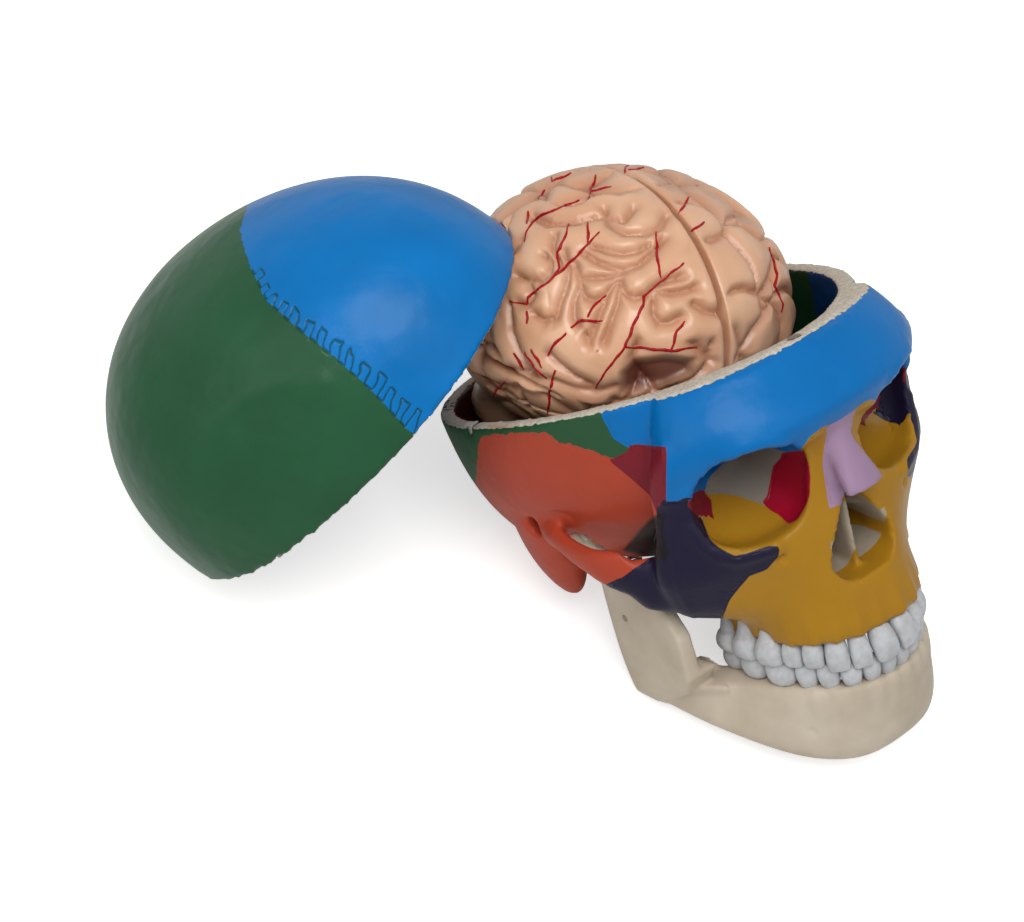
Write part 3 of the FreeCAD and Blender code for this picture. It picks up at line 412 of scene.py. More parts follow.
def add(tree, kind, inputs=None, output=0, **settings):
    """Adds a shader node, with values or links for its inputs, and gives one output."""
    made = tree.nodes.new("ShaderNode" + kind)
    for name, value in settings.items():
        setattr(made, name, value)
    for key, value in (inputs or {}).items():
        socket = made.inputs[key]
        if isinstance(value, bpy.types.NodeSocket):
            tree.links.new(value, socket)
        else:
            socket.default_value = value
    return made.outputs[output] if made.outputs else made


def new_material(name):
    material = bpy.data.materials.new(name)
    material.use_nodes = True
    tree = material.node_tree
    tree.nodes.clear()
    return material, tree


def close_material(tree, base, roughness, bump, **settings):
    """The surface shader at the end of every material."""
    inputs = {"Base Color": base, "Roughness": roughness, "Normal": bump,
              "Specular IOR Level": SATIN_SPECULAR}
    inputs.update({name.replace("_", " "): value for name, value in settings.items()})
    add(tree, "OutputMaterial", {"Surface": add(tree, "BsdfPrincipled", inputs)})


def blotches(tree, size_mm, detail=2.0, rough=0.5):
    """Even noise whose blotches are about this many millimetres across."""
    spot = add(tree, "TexCoord", output="Object")
    return add(tree, "TexNoise", {
        "Vector": spot, "Scale": 1.0 / (size_mm * MM), "Detail": detail, "Roughness": rough})


def brushed(tree, paint, size_mm, spread):
    """Paint that is a little thicker here and thinner there, as a brush leaves it."""
    value = add(tree, "Math", {0: blotches(tree, size_mm, 3.0), 1: 2.0 * spread, 2: 1.0 - spread},
                operation="MULTIPLY_ADD")
    return add(tree, "HueSaturation", {"Value": value, "Color": paint})


def cast_bumps(tree, grain_mm, grain_depth_mm, swell_mm, swell_depth_mm):
    """Fine grain of a casting, over its slow unevenness."""
    grain = add(tree, "Bump", {
        "Height": blotches(tree, grain_mm, 3.0), "Distance": grain_depth_mm * MM})
    return add(tree, "Bump", {
        "Height": blotches(tree, swell_mm), "Distance": swell_depth_mm * MM, "Normal": grain})


def mottled(tree, light, dark, size_mm, low, high, detail=2.0):
    """Two tones of a plastic in soft blotches."""
    share = add(tree, "MapRange", {
        "Value": blotches(tree, size_mm, detail), "From Min": low, "From Max": high})
    return add(tree, "Mix", {0: share, 6: tuple(light), 7: tuple(dark)}, **MIXED_COLOUR)


def sawn_edge(tree, from_cut, chip_mm, chip_depth, chip_start):
    """Bare plastic along a saw cut, where the paint is chipped.

    Gives where it shows, its colour and its coarse grain. The attribute from_cut holds the
    distance from the cut.
    """
    chips = add(tree, "Math", {0: blotches(tree, chip_mm, 3.0), 1: chip_depth, 2: chip_start},
                operation="MULTIPLY_ADD")
    away = add(tree, "Attribute", output="Fac", attribute_name=from_cut)
    depth = add(tree, "Math", {0: chips, 1: away}, operation="SUBTRACT")
    bare = add(tree, "MapRange", {"Value": depth, "From Min": -0.05, "From Max": 0.05})
    coarse = add(tree, "MapRange", {
        "Value": blotches(tree, 1.3, 3.0, 0.7), "From Min": 0.42, "From Max": 0.62})
    raw = add(tree, "Mix", {0: coarse, 6: colour("#DDD3C3"), 7: colour("#C3B7A3")},
              **MIXED_COLOUR)
    return bare, raw, coarse


# Paint of the bones, by the outlines that the photograph shows, in its pixels
BONE_OUTLINES = {
    "frontal": ((604, 380), (604, 415), (615, 437), (640, 447), (664, 449), (664, 504), (681, 504),
                (684, 496), (705, 479), (739, 451), (760, 437), (766, 446), (780, 453), (800, 448),
                (822, 428), (836, 424), (846, 420), (900, 400), (1000, 250), (800, 200)),
    "parietal": ((380, 330), (430, 400), (604, 380), (604, 415), (615, 437), (632, 452), (613, 461),
                 (605, 459), (594, 452), (560, 446), (545, 436), (506, 436), (486, 437), (480, 444),
                 (476, 470), (472, 500), (440, 520), (380, 460)),
    "temporal": ((482, 444), (486, 437), (506, 436), (531, 434), (545, 436), (570, 446), (581, 452),
                 (599, 457), (613, 461), (632, 476), (652, 494), (660, 516), (654, 540), (652, 559),
                 (622, 581), (600, 572), (590, 640), (540, 640), (470, 560), (474, 494), (487, 502),
                 (482, 480)),
    "sphenoid": ((613, 461), (632, 452), (640, 447), (664, 449), (664, 504), (662, 530), (648, 545),
                 (640, 552), (654, 540), (660, 516), (652, 494), (632, 476)),
    "maxilla": ((826, 430), (812, 440), (806, 458), (790, 525), (720, 492), (710, 510), (716, 540),
                (735, 557), (776, 549), (776, 556), (765, 568), (748, 574), (728, 598), (722, 612),
                (715, 625), (700, 660), (950, 700), (960, 500), (900, 400)),
    "zygomatic": ((662, 504), (681, 504), (687, 520), (700, 545), (716, 556), (735, 561),
                  (750, 556), (768, 547), (778, 549), (776, 556), (765, 568), (748, 574),
                  (728, 598), (722, 612), (718, 640), (600, 640), (622, 581), (652, 559),
                  (655, 530)),
    "lacrimal": ((784, 458), (797, 457), (808, 464), (814, 476), (817, 496), (812, 508), (798, 521),
                 (790, 518), (785, 508), (776, 502), (772, 485), (775, 468)),
    "ethmoid": ((739, 451), (760, 446), (780, 453), (784, 458), (775, 468), (772, 485),
                (766, 494), (740, 486), (722, 490), (716, 480)),
}
SOCKET_CRIMSON = ((684, 502), (700, 494), (712, 500), (717, 520), (716, 540), (708, 530),
                  (698, 514), (690, 508))
RIM_STAIN = ((488, 425), (506, 425), (523, 427), (520, 433), (489, 431))
RIM_SMUDGES = ((437, 400), (446, 397), (456, 406), (449, 412), (440, 409))
# Outline of the temple's deep hollow, painted near-black as painted shadow
TEMPLE_PAINTED_SHADOW = ((624, 550), (636, 536), (648, 522), (658, 514), (664, 516), (663, 534), (668, 552),
                 (664, 560), (646, 556))
# Order of the paint, each bone over those before it
BONE_LAYERS = ("parietal", "occipital", "frontal", "temporal", "sphenoid", "maxilla",
               "zygomatic", "ethmoid", "nasal", "lacrimal")
JAGGED_BONES = ("occipital", "temporal")
# Raised edges of the casting: pixels of the line, half width and height in millimetres
RIDGES = (
    (((672, 520), (673, 551), (681, 594), (697, 622)), 1.3, 0.45),
    (((690, 530), (704, 548), (720, 557), (738, 560), (758, 554), (776, 549)), 2.4, 1.3),
    (((664, 449), (666, 476), (665, 503)), 2.2, 0.9),
    (((684, 496), (705, 479), (739, 451), (766, 443), (800, 446), (818, 432)), 2.4, 0.9),
)
# Eye socket: a funnel from its apex to its rim, as in the part's source
SOCKET_RIM = Vector((30.0, -80.0, 18.6))
SOCKET_APEX = Vector((19.0, -51.0, 20.6))
SOCKET_SPREAD = ((0.0, 0.22), (0.45, 0.78), (0.8, 1.06), (1.0, 1.0), (1.6, 1.25))
SOCKET_RADIUS = 18.4
SOCKET_SHARES = (-0.25, 0.96)
SOCKET_WALL_REACH, SOCKET_END_REACH = 1.1, 1.2
SOCKET_END, SOCKET_DEEP, SOCKET_MIDWAY = 0.25, 0.3, 0.55
# Walls of the socket, by degrees round from its outer side
SOCKET_OUTER_WALL = (-42.0, 55.0)
SOCKET_ROOF = (55.0, 138.0)
SOCKET_FLOOR = (-135.0, -42.0)
# A place counts as seen where nothing stands this many millimetres or more before it
SIGHT_SLACK = 1.6
# Edges of bones that no outline gives, in millimetres of the skull's frame
NOSE_BONE_Z = (5.0, 31.5)
NOSE_BONE_HALF_WIDTH, NOSE_BONE_FLARE, NOSE_BONE_FLARE_TOP = 4.5, 0.14, 31.0
BRIDGE_Y, BRIDGE_Z = -80.0, 2.0
REAR_BONE_Y, REAR_BONE_Z, REAR_BONE_LEAN, REAR_BONE_STRETCH = 44.0, 5.0, 0.55, 1.14
BARE_TOP, BARE_HALF_WIDTH, BARE_FRONT = -15.0, 30.0, -62.0
PALATE_END, PALATE_Z, PALATE_HALF_WIDTH = -40.0, -49.0, 19.0
# Claims that a rule settles, that are out of reach, and the most that is kept
WON, LOST, OUT_OF_CLAIM, OUT_OF_MARK, MOST_KEPT = 4.0, -4.0, -9.0, -20.0, 6.0
# Inner floor: its height ahead of the first place, ahead of the second, and behind
INNER_FLOOR_Y = (-47.0, 5.0)
INNER_FLOOR_Z = (37.0, -2.0, -24.0)
HOLLOW_SCALE = 65.0
# Hollow of the nose, its bare plastic painted darker grey as painted shade: half width over and
# under a height, front with its lean, and top
NOSE_HOLLOW_HALF_WIDTHS, NOSE_HOLLOW_SPLIT = (11.2, 12.6), 2.0
NOSE_HOLLOW_FRONT, NOSE_HOLLOW_LEAN, NOSE_HOLLOW_MIDDLE = -90.0, 0.5, -8.0
NOSE_HOLLOW_TOP = 8.0
# Lift of the cheek arch: where it starts and how far on it is full, each way
ARCH_LIFT = 4.0
ARCH_SIDE, ARCH_TOP, ARCH_UNDER = (59.0, 3.0), (12.0, -6.0), -25.0
ARCH_FRONT, ARCH_REAR = (-58.0, 12.0), (-8.0, -8.0)
# Swell over a root: half width, its start and end along the tooth, its near and far side
ROOT_HALF_WIDTH = 2.1
ROOT_START, ROOT_TIP = (0.0, 3.0), (17.0, -10.0)
ROOT_NEAR, ROOT_FAR = (-1.0, 2.0), (12.0, -4.0)
ROOT_SWELL_UPPER, ROOT_SWELL_LOWER = 0.8, 0.9


def socket_places(twin, twin_normals):
    """Where points stand in the eye socket: how far out, at what angle, and whether on its wall."""
    axis = SOCKET_RIM - SOCKET_APEX
    length = axis.length
    axis.normalize()
    outward = Vector((0, 0, 1)).cross(axis).normalized()
    if outward.x < 0:
        outward.negate()
    lift = axis.cross(outward)
    if lift.z < 0:
        lift.negate()
    reach = twin - np.array(SOCKET_APEX)
    share = reach @ np.array(axis) / length
    side, up = reach @ np.array(outward), reach @ np.array(lift)
    spread = np.interp(share, [s for s, w in SOCKET_SPREAD], [w for s, w in SOCKET_SPREAD])
    round_share = np.hypot(side, up) / (SOCKET_RADIUS * spread)
    facing = (twin_normals @ np.array(outward)) * side + (twin_normals @ np.array(lift)) * up
    first, last = SOCKET_SHARES
    within = (share > first) & (share < last)
    on_wall = within & (round_share < SOCKET_WALL_REACH) & (facing < 0.0)
    on_wall |= within & (round_share < SOCKET_END_REACH) & (share < SOCKET_END)
    return share, np.degrees(np.arctan2(up, side)), on_wall


def in_sight(places, tree):
    """Whether the photograph's camera sees these places."""
    seen = np.zeros(len(places), dtype=bool)
    for row, place in enumerate(places):
        reach = Vector(place) - EYE
        distance = tree.ray_cast(EYE, reach.normalized())[3]
        seen[row] = distance is not None and distance > reach.length - SIGHT_SLACK * MM
    return seen


def bone_claims(local, local_normals, tree):
    """How strongly each bone claims each point, in millimetres."""
    twin, twin_normals = local.copy(), local_normals.copy()
    left = local[:, 0] > 0
    twin[left, 0] *= -1
    twin_normals[left, 0] *= -1
    seen = in_picture(from_skull(twin))
    claims = {name: depth_inside(seen, outline) / PIXELS_PER_MM
              for name, outline in BONE_OUTLINES.items()}
    x, y, z = -twin[:, 0], twin[:, 1], twin[:, 2]
    flare = NOSE_BONE_HALF_WIDTH + NOSE_BONE_FLARE * (NOSE_BONE_FLARE_TOP - z)
    claims["nasal"] = np.minimum(
        flare - x, np.minimum(NOSE_BONE_Z[1] - z, z - NOSE_BONE_Z[0]))
    bridge = (y < BRIDGE_Y) & (z > BRIDGE_Z)
    for name in ("maxilla", "frontal"):
        claims[name] = np.where(bridge, np.minimum(claims[name], -claims["nasal"]), claims[name])
    lean = y - REAR_BONE_Y - REAR_BONE_LEAN * (z - REAR_BONE_Z)
    claims["occipital"] = lean / REAR_BONE_STRETCH
    bare = np.minimum(BARE_TOP - z, np.minimum(BARE_HALF_WIDTH - x, y - BARE_FRONT))
    over_palate = (y < PALATE_END) & (z > PALATE_Z)
    claims["casting"] = np.where(over_palate, np.minimum(bare, PALATE_HALF_WIDTH - x), bare)
    mirrored = np.array([-1, 1, 1])
    share, angle, on_wall = socket_places(twin * mirrored, twin_normals * mirrored)
    plain = np.zeros(len(twin), dtype=bool)
    plain[on_wall] = in_sight(from_skull(twin[on_wall]), tree)
    crimson = depth_inside(seen, SOCKET_CRIMSON)
    claims["sphenoid"] = np.where(on_wall & plain, crimson, claims["sphenoid"])
    claims["ethmoid"] = np.where(on_wall, claims["ethmoid"], OUT_OF_CLAIM)
    on_wall &= ~plain
    outer_wall = (angle > SOCKET_OUTER_WALL[0]) & (angle < SOCKET_OUTER_WALL[1])
    roof = (angle >= SOCKET_ROOF[0]) & (angle < SOCKET_ROOF[1])
    floor = (angle <= SOCKET_FLOOR[1]) & (angle > SOCKET_FLOOR[0])
    rules = ((outer_wall, "zygomatic"), (outer_wall & (share < SOCKET_MIDWAY), "sphenoid"),
             (roof, "frontal"), (floor, "maxilla"), (share < SOCKET_DEEP, "sphenoid"))
    for where, name in rules:
        for other in claims:
            claims[other] = np.where(
                on_wall & where, WON if other == name else LOST, claims[other])
    return claims, seen


def root_swell(local, row):
    """How far roots press the casting out over the front teeth of a row, 0 to 1."""
    swell = np.zeros(len(local))
    for node in frame["nodes"]:
        if not node.startswith(row) or node.endswith("molar") and not node.endswith("premolar"):
            continue
        middle = in_skull(mesh_numbers(frame["nodes"][node], "co")).mean(axis=0)
        reach = local - middle
        outward = np.array([middle[0], middle[1] + TOOTH_BOW])
        outward /= np.linalg.norm(outward)
        along = reach[:, 0] * outward[1] - reach[:, 1] * outward[0]
        proud = reach[:, :2] @ outward
        up = reach[:, 2] if row == "upper_" else -reach[:, 2]
        length = ramp(up, *ROOT_START) * ramp(up, *ROOT_TIP)
        near = ramp(proud, *ROOT_NEAR) * ramp(proud, *ROOT_FAR)
        swell = np.maximum(swell, np.exp(-(along / ROOT_HALF_WIDTH) ** 2) * length * near)
    return swell


def build_skull(choices):
    """The painted lower skull."""
    piece = cast_copy("painted_skull", "skull_base", choices.grain, 3)
    tree = surface_tree(piece)
    points = mesh_numbers(piece, "co")
    outward = mesh_numbers(piece, "normal")
    proud = ROOT_SWELL_UPPER * root_swell(in_skull(points), "upper_")
    for line, width, height in RIDGES:
        ridge = traced(line, tree, 3.0)
        twin = in_skull(np.array([list(spot) for spot in ridge])) * np.array([-1, 1, 1])
        rows = [ridge, [Vector(spot) for spot in from_skull(twin)]]
        proud = np.maximum(proud, height * np.exp(-(line_distance(points, rows) / width) ** 2))
    points = points + outward * (proud * MM)[:, None]
    move_to(piece, points)
    local = in_skull(points)
    x, y, z = abs(local[:, 0]), local[:, 1], local[:, 2]
    arch = ramp(x, *ARCH_SIDE) * ramp(z, *ARCH_TOP)
    arch *= ramp(y, *ARCH_FRONT) * ramp(y, *ARCH_REAR)
    local[:, 2] += ARCH_LIFT * arch * (z > ARCH_UNDER)
    points = from_skull(local)
    move_to(piece, points)
    claims, seen = bone_claims(local, outward @ np.array(REST_TURN), tree)
    stack = np.stack(list(claims.values()))
    ranked = np.sort(stack, axis=0)
    for name, claim in claims.items():
        rival = np.where(claim >= ranked[-1], ranked[-2], ranked[-1])
        keep(piece, name, np.clip((claim - rival) * 0.5, -MOST_KEPT, MOST_KEPT))
    keep(piece, "suture", np.clip(ranked[-1] - ranked[-2], 0, MOST_KEPT))
    sawn = over_cut(local)
    keep(piece, "below_cut", -sawn[:, 2])
    round_wall = 1.0 - egg_share(sawn, HOLLOW_EGG)
    heights = np.array(INNER_FLOOR_Z)[np.digitize(y, INNER_FLOOR_Y)]
    # Inner walls of the hollow, for their own paint in darker tones that add painted shade
    keep(piece, "hollow", np.minimum(round_wall * HOLLOW_SCALE, z - heights))
    keep(piece, "backward", y)
    # Hollow of the nose: the bare plastic painted darker as painted shade
    half_width = np.where(z > NOSE_HOLLOW_SPLIT, *NOSE_HOLLOW_HALF_WIDTHS)
    behind = y - NOSE_HOLLOW_FRONT - NOSE_HOLLOW_LEAN * abs(z - NOSE_HOLLOW_MIDDLE)
    keep(piece, "nose_hollow",
         np.minimum(half_width - x, np.minimum(behind, NOSE_HOLLOW_TOP - z)))
    right = local[:, 0] < 0
    # Painted shadow: where the temple's hollow is painted near-black
    keep(piece, "shade", depth_inside(seen, TEMPLE_PAINTED_SHADOW) / PIXELS_PER_MM)
    for name, outline in (("stain", RIM_STAIN), ("smudge", RIM_SMUDGES)):
        keep(piece, name, np.where(right, depth_inside(seen, outline), OUT_OF_MARK))
    dress(piece, painted_bone(choices), "painted_skull", "skull", "skull_base")


def painted_bone(choices):
    """Cast PVC with hand-brushed acrylic: satin, one colour to each bone, bare at the saw cut."""
    material, tree = new_material("Satin acrylic paint on cast PVC")
    jagged = add(tree, "Math", {0: blotches(tree, 3.0, 1.0), 1: 2.4, 2: -1.2},
                 operation="MULTIPLY_ADD")
    wavy = add(tree, "Math", {0: blotches(tree, 8.0, 1.0), 1: 0.7, 2: -0.35},
               operation="MULTIPLY_ADD")

    def region(name, edge, sharpness=0.12, lap=-0.9):
        """Where a kept number shows as paint, with its uneven edge."""
        depth = add(tree, "Attribute", output="Fac", attribute_name=name)
        uneven = add(tree, "Math", {0: depth, 1: edge}, operation="ADD")
        return add(tree, "MapRange", {
            "Value": uneven, "From Min": lap - sharpness, "From Max": lap + sharpness})

    backward = add(tree, "Attribute", output="Fac", attribute_name="backward")
    # Inner walls: their own blue, green and red, in darker copies that add painted shade
    inner = colour("#0F3C73")
    for start, end, tone in ((-18.5, -18.0, "#1E4229"), (30.0, 31.0, "#4A1E18")):
        behind = add(tree, "MapRange", {"Value": backward, "From Min": start, "From Max": end})
        inner = add(tree, "Mix", {0: behind, 6: inner, 7: colour(tone)}, **MIXED_COLOUR)
    # Painted shadow of the temple's hollow, near-black over all other paint
    shade = add(tree, "Math", {0: region("shade", wavy, 0.6, -0.3), 1: 0.96},
                operation="MULTIPLY")
    layers = [(region(name, jagged if name in JAGGED_BONES else wavy),
               tuple(getattr(choices, name))) for name in BONE_LAYERS]
    # Last layers: painted shade in the nose, the inner walls' darker paint with painted shade, and
    # painted shadow in the temple
    layers += [(region("nose_hollow", wavy, lap=0.0), colour("#A89C8A")),
               (region("hollow", wavy, lap=0.0), inner), (shade, colour("#151014"))]
    paint = tuple(choices.casting)
    for share, tone in layers:
        paint = add(tree, "Mix", {0: share, 6: paint, 7: tone}, **MIXED_COLOUR)
    bare, raw, coarse = sawn_edge(tree, "below_cut", 2.2, 1.5, 0.0)
    stained = add(tree, "Math", {0: region("stain", jagged, 2.0, 0.0), 1: 0.6},
                  operation="MULTIPLY")
    specks = add(tree, "MapRange", {
        "Value": blotches(tree, 1.6, 1.0), "From Min": 0.5, "From Max": 0.56})
    marked = add(tree, "Math", {0: region("smudge", jagged, 1.0, 0.0), 1: specks},
                 operation="MULTIPLY")
    for share, tone in ((stained, "#C4824C"), (marked, "#3A332C")):
        raw = add(tree, "Mix", {0: share, 6: raw, 7: colour(tone)}, **MIXED_COLOUR)
    base = add(tree, "Mix", {0: bare, 6: brushed(tree, paint, 24.0, 0.17), 7: raw},
               **MIXED_COLOUR)
    between = add(tree, "Attribute", output="Fac", attribute_name="suture")
    groove = add(tree, "MapRange", {"Value": between, "From Min": 0.0, "From Max": 0.9})
    seams = add(tree, "Bump", {"Height": groove, "Distance": 0.22 * MM,
                               "Normal": cast_bumps(tree, 1.1, 0.05, 8.0, 0.35)})
    sawn = add(tree, "Math", {0: coarse, 1: bare}, operation="MULTIPLY")
    scored = add(tree, "Bump", {
        "Height": sawn, "Distance": 0.1 * MM, "Normal": seams}, invert=True)
    rough = add(tree, "Math", {0: bare, 1: 0.42, 2: 0.33}, operation="MULTIPLY_ADD")
    close_material(tree, base, rough, scored, IOR=1.48)
    return material


# Loose cap: the seam between its blue front and green rear, in the photograph's pixels
CORONAL = ((252, 196), (248, 203), (240, 230), (243, 245), (250, 266), (266, 300), (290, 322),
           (330, 354), (370, 389), (405, 427), (420, 440))
FRONT_CORNERS = ((600, 440), (600, 100), (252, 100))
# Pixel at which the engraving starts, and the faint bow across the rear
SEAM_START = (251, 268)
BOW_LINE = ((206, 427), (233, 404), (256, 386), (285, 379), (318, 384))
# Strip that the seam is engraved in: across it and along it, in millimetres
SEAM_STRIP = ((-1.5, 9.5), (-2.0, 90.0))
# Relief of the cap, in millimetres, with the grit of its sawn edge and how high that reaches
GROOVE_DEPTH, BOW_HEIGHT, BOW_WIDTH, RAGGED_HEIGHT = 0.55, 0.9, 5.0, 0.6
RAGGED_GRIT, RAGGED_TOP = 3.5, (2.0, -2.0)
# Strokes: slant, the two waves of their spacing and their reach, each size and swing length
STROKE_SLANT, STROKE_HALF_WIDTH = 0.4, (0.42, -0.3)
SPACING_WAVES = ((3.0, 7.0), (0.9, 2.2))
STROKE_REACH, REACH_WAVE, REACH_GROWTH = 0.9, (3.4, 5.0), 0.05
# Edges of the groove at a stroke's foot, at its end, round a bend and at the seam's start
FOOT_EDGE, END_EDGE, BEND_EDGE, START_EDGE = (-0.3, 0.5), (-0.2, 0.5), (0.5, -0.3), (0.0, 1.0)


def seam_course(points, seam):
    """How far points stand across the seam, to its front, and along it, in millimetres."""
    along = np.cumsum([0.0] + [(b - a).length for a, b in zip(seam, seam[1:])]) / MM
    first = min(range(len(seam)), key=lambda row: math.dist(
        in_picture(np.array(seam[row])[None])[0], SEAM_START))
    finder = KDTree(len(seam))
    for index, spot in enumerate(seam):
        finder.insert(spot, index)
    finder.balance()
    front_side = depth_inside(in_picture(points), CORONAL + FRONT_CORNERS)
    across, travelled = np.empty(len(points)), np.empty(len(points))
    for row, point in enumerate(points):
        spot, index = finder.find(point)[:2]
        direction = (seam[min(index + 1, len(seam) - 1)] - seam[max(index - 1, 0)]).normalized()
        reach = Vector(point) - spot
        slide = reach.dot(direction)
        across[row] = (reach - direction * slide).length / MM
        travelled[row] = along[index] + slide / MM
    return np.where(front_side > 0, across, -across), travelled - along[first]


def refine_seam(piece, across, travel):
    """Quarter the mesh steps on the strip that the seam is engraved in."""
    shell = bmesh.new()
    shell.from_mesh(piece.data)
    shell.verts.ensure_lookup_table()
    (near, far), (first, last) = SEAM_STRIP
    strip = (across > near) & (across < far) & (travel > first) & (travel < last)
    edges = {edge for face in shell.faces if all(strip[vert.index] for vert in face.verts)
             for edge in face.edges}
    in_order = sorted(edges, key=lambda edge: edge.index)
    bmesh.ops.subdivide_edges(shell, edges=in_order, cuts=3, use_grid_fill=True, smooth=0.0)
    shell.to_mesh(piece.data)
    shell.free()


def noises(points, size_mm):
    """Slow noise at points, 0 to 1, with swings about this many millimetres long."""
    scale = size_mm * MM
    return np.array([0.5 + 0.5 * field.noise(Vector(point) / scale) for point in points])


def engraved(points, across, travel, gap):
    """Groove of the seam: strokes across it, joined by bends at their ends in turn."""
    slanted = travel + STROKE_SLANT * across
    for size, swing in SPACING_WAVES:
        slanted = slanted + size * noises(points, swing)
    wave = np.sin(slanted * math.pi / gap)
    stroke = ramp(abs(wave), *STROKE_HALF_WIDTH)
    reach = STROKE_REACH + REACH_WAVE[0] * noises(points, REACH_WAVE[1]) + REACH_GROWTH * travel
    stroke *= ramp(across, *FOOT_EDGE) * ramp(reach - across, *END_EDGE)
    from_end = abs(across - np.where(wave > 0, reach, 0.0))
    return np.maximum(stroke, ramp(from_end, *BEND_EDGE)) * ramp(travel, *START_EDGE)


def build_cap(choices):
    """The loose skull cap, with its engraved seam between blue and green."""
    piece = cast_copy("painted_cap", "skull_cap", choices.grain, 3)
    tree = surface_tree(piece)
    seam = traced(CORONAL, tree, 2.0)
    refine_seam(piece, *seam_course(mesh_numbers(piece, "co"), seam))
    points = mesh_numbers(piece, "co")
    across, travel = seam_course(points, seam)
    groove = engraved(points, across, travel, choices.stroke_gap / MM)
    level = in_cap(points)[:, 2]
    bow = np.exp(-(line_distance(points, [traced(BOW_LINE, tree, 3.0)]) / BOW_WIDTH) ** 2)
    ragged = 2.0 * (noises(points, RAGGED_GRIT) - 0.5) * ramp(level, *RAGGED_TOP)
    proud = BOW_HEIGHT * bow + RAGGED_HEIGHT * ragged - GROOVE_DEPTH * groove
    move_to(piece, points + mesh_numbers(piece, "normal") * (proud * MM)[:, None])
    keep(piece, "seam_offset", across)
    keep(piece, "groove", groove)
    keep(piece, "over_cut", level)
    dress(piece, cap_paint(choices), "painted_cap", "skull", "skull_cap")


def cap_paint(choices):
    """Hand-brushed acrylic on cast PVC: satin green and blue, with an engraved zigzag seam."""
    material, tree = new_material("Satin acrylic paint on cast PVC, cap")
    offset = add(tree, "Attribute", output="Fac", attribute_name="seam_offset")
    cut_line = add(tree, "Attribute", output="Fac", attribute_name="groove")
    edge = add(tree, "Math", {0: blotches(tree, 3.0, 1.0), 1: 1.8, 2: -0.9},
               operation="MULTIPLY_ADD")
    uneven = add(tree, "Math", {0: offset, 1: edge}, operation="ADD")
    side = add(tree, "MapRange", {"Value": uneven, "From Min": -0.1, "From Max": 0.1})
    paint = add(tree, "Mix", {0: side, 6: tuple(choices.rear), 7: tuple(choices.front)},
                **MIXED_COLOUR)
    filled = add(tree, "Math", {0: cut_line, 1: 0.85}, operation="MULTIPLY")
    paint = add(tree, "Mix", {0: filled, 6: paint, 7: colour("#174A38")}, **MIXED_COLOUR)
    bare, raw = sawn_edge(tree, "over_cut", 2.4, 0.9, -0.1)[:2]
    base = add(tree, "Mix", {0: bare, 6: brushed(tree, paint, 26.0, 0.24), 7: raw},
               **MIXED_COLOUR)
    bumps = cast_bumps(tree, 1.1, 0.05, 20.0, 1.3)
    rough = add(tree, "Math", {0: bare, 1: 0.44, 2: 0.3}, operation="MULTIPLY_ADD")
    close_material(tree, base, rough, bumps, IOR=1.48)
    return material


# Jaw and teeth: how far the branch's front edge moves, and where, in the skull's frame
BRANCH_PUSH = 8.5
BRANCH_FOOT, BRANCH_TOP = (-62.0, 12.0), (-20.0, -14.0)
BRANCH_FRONT, BRANCH_INNER = (-32.0, -10.0), 40.0


def build_jaw(choices):
    """The bare ivory jaw, its branch a little broader to the front than the solid."""
    piece = cast_copy("jaw_casting", "mandible", choices.grain, 4)
    points = in_skull(mesh_numbers(piece, "co"))
    x, y, z = abs(points[:, 0]), points[:, 1], points[:, 2]
    branch = ramp(z, *BRANCH_FOOT) * ramp(z, *BRANCH_TOP) * (x > BRANCH_INNER)
    points[:, 1] -= BRANCH_PUSH * branch * ramp(y, *BRANCH_FRONT)
    move_to(piece, from_skull(points))
    soften(piece, 3)
    swell = root_swell(in_skull(mesh_numbers(piece, "co")), "lower_")
    proud = ROOT_SWELL_LOWER * MM * swell
    points = mesh_numbers(piece, "co") + mesh_numbers(piece, "normal") * proud[:, None]
    move_to(piece, points)
    dress(piece, bare_casting(choices), "bone_plastic", "jaw", "mandible")


def bare_casting(choices):
    """Bare cast PVC: warm ivory, satin, with faint mould marks."""
    material, tree = new_material("Bare cast PVC, ivory")
    base = mottled(tree, choices.ivory, choices.shade, 18.0, 0.3, 0.75, detail=3.0)
    close_material(tree, base, 0.42, cast_bumps(tree, 1.4, 0.05, 9.0, 0.35), IOR=1.48)
    return material


# Crowns: mesh step, swell, and how far the upper front ones stand out and down
CROWN_GRAIN, CROWN_SWELL = 0.5, 0.22
# Width of a crown along it: least share, what its belly adds, and the part of a wave it follows
CROWN_WAIST, CROWN_BELLY, CROWN_WAVE = 0.8, 0.24, (0.1, 0.72)
FRONT_TOOTH_OUT, FRONT_TOOTH_DOWN = 1.0, 1.8


def build_teeth(choices):
    """Rounded crowns, one for each tooth."""
    material = tooth_plastic(choices)
    for node in frame["nodes"]:
        if not node.startswith(("upper_", "lower_")):
            continue
        piece = cast_copy("crown_" + node, node, CROWN_GRAIN * MM, 3)
        body = "skull" if node.startswith("upper_") else "jaw"
        points = mesh_numbers(piece, "co")
        points = in_skull(points + mesh_numbers(piece, "normal") * (CROWN_SWELL * MM))
        low, high = points.min(axis=0), points.max(axis=0)
        down = 1.0 if body == "skull" else -1.0
        middle = (high + low) / 2
        share = np.clip(0.5 + down * (middle[2] - points[:, 2]) / (high - low)[2], 0, 1)
        wave = np.sin(math.pi * (CROWN_WAVE[0] + CROWN_WAVE[1] * share))
        width = CROWN_WAIST + CROWN_BELLY * wave
        points[:, :2] = middle[:2] + (points[:, :2] - middle[:2]) * width[:, None]
        if node.startswith("upper_") and node.endswith(("incisor", "canine")):
            outward = middle[:2] + np.array([0.0, TOOTH_BOW])
            outward /= np.linalg.norm(outward)
            points[:, :2] += outward * (FRONT_TOOTH_OUT * share)[:, None]
            points[:, 2] -= FRONT_TOOTH_DOWN * share
        move_to(piece, from_skull(points))
        dress(piece, material, "tooth_plastic", body, node)


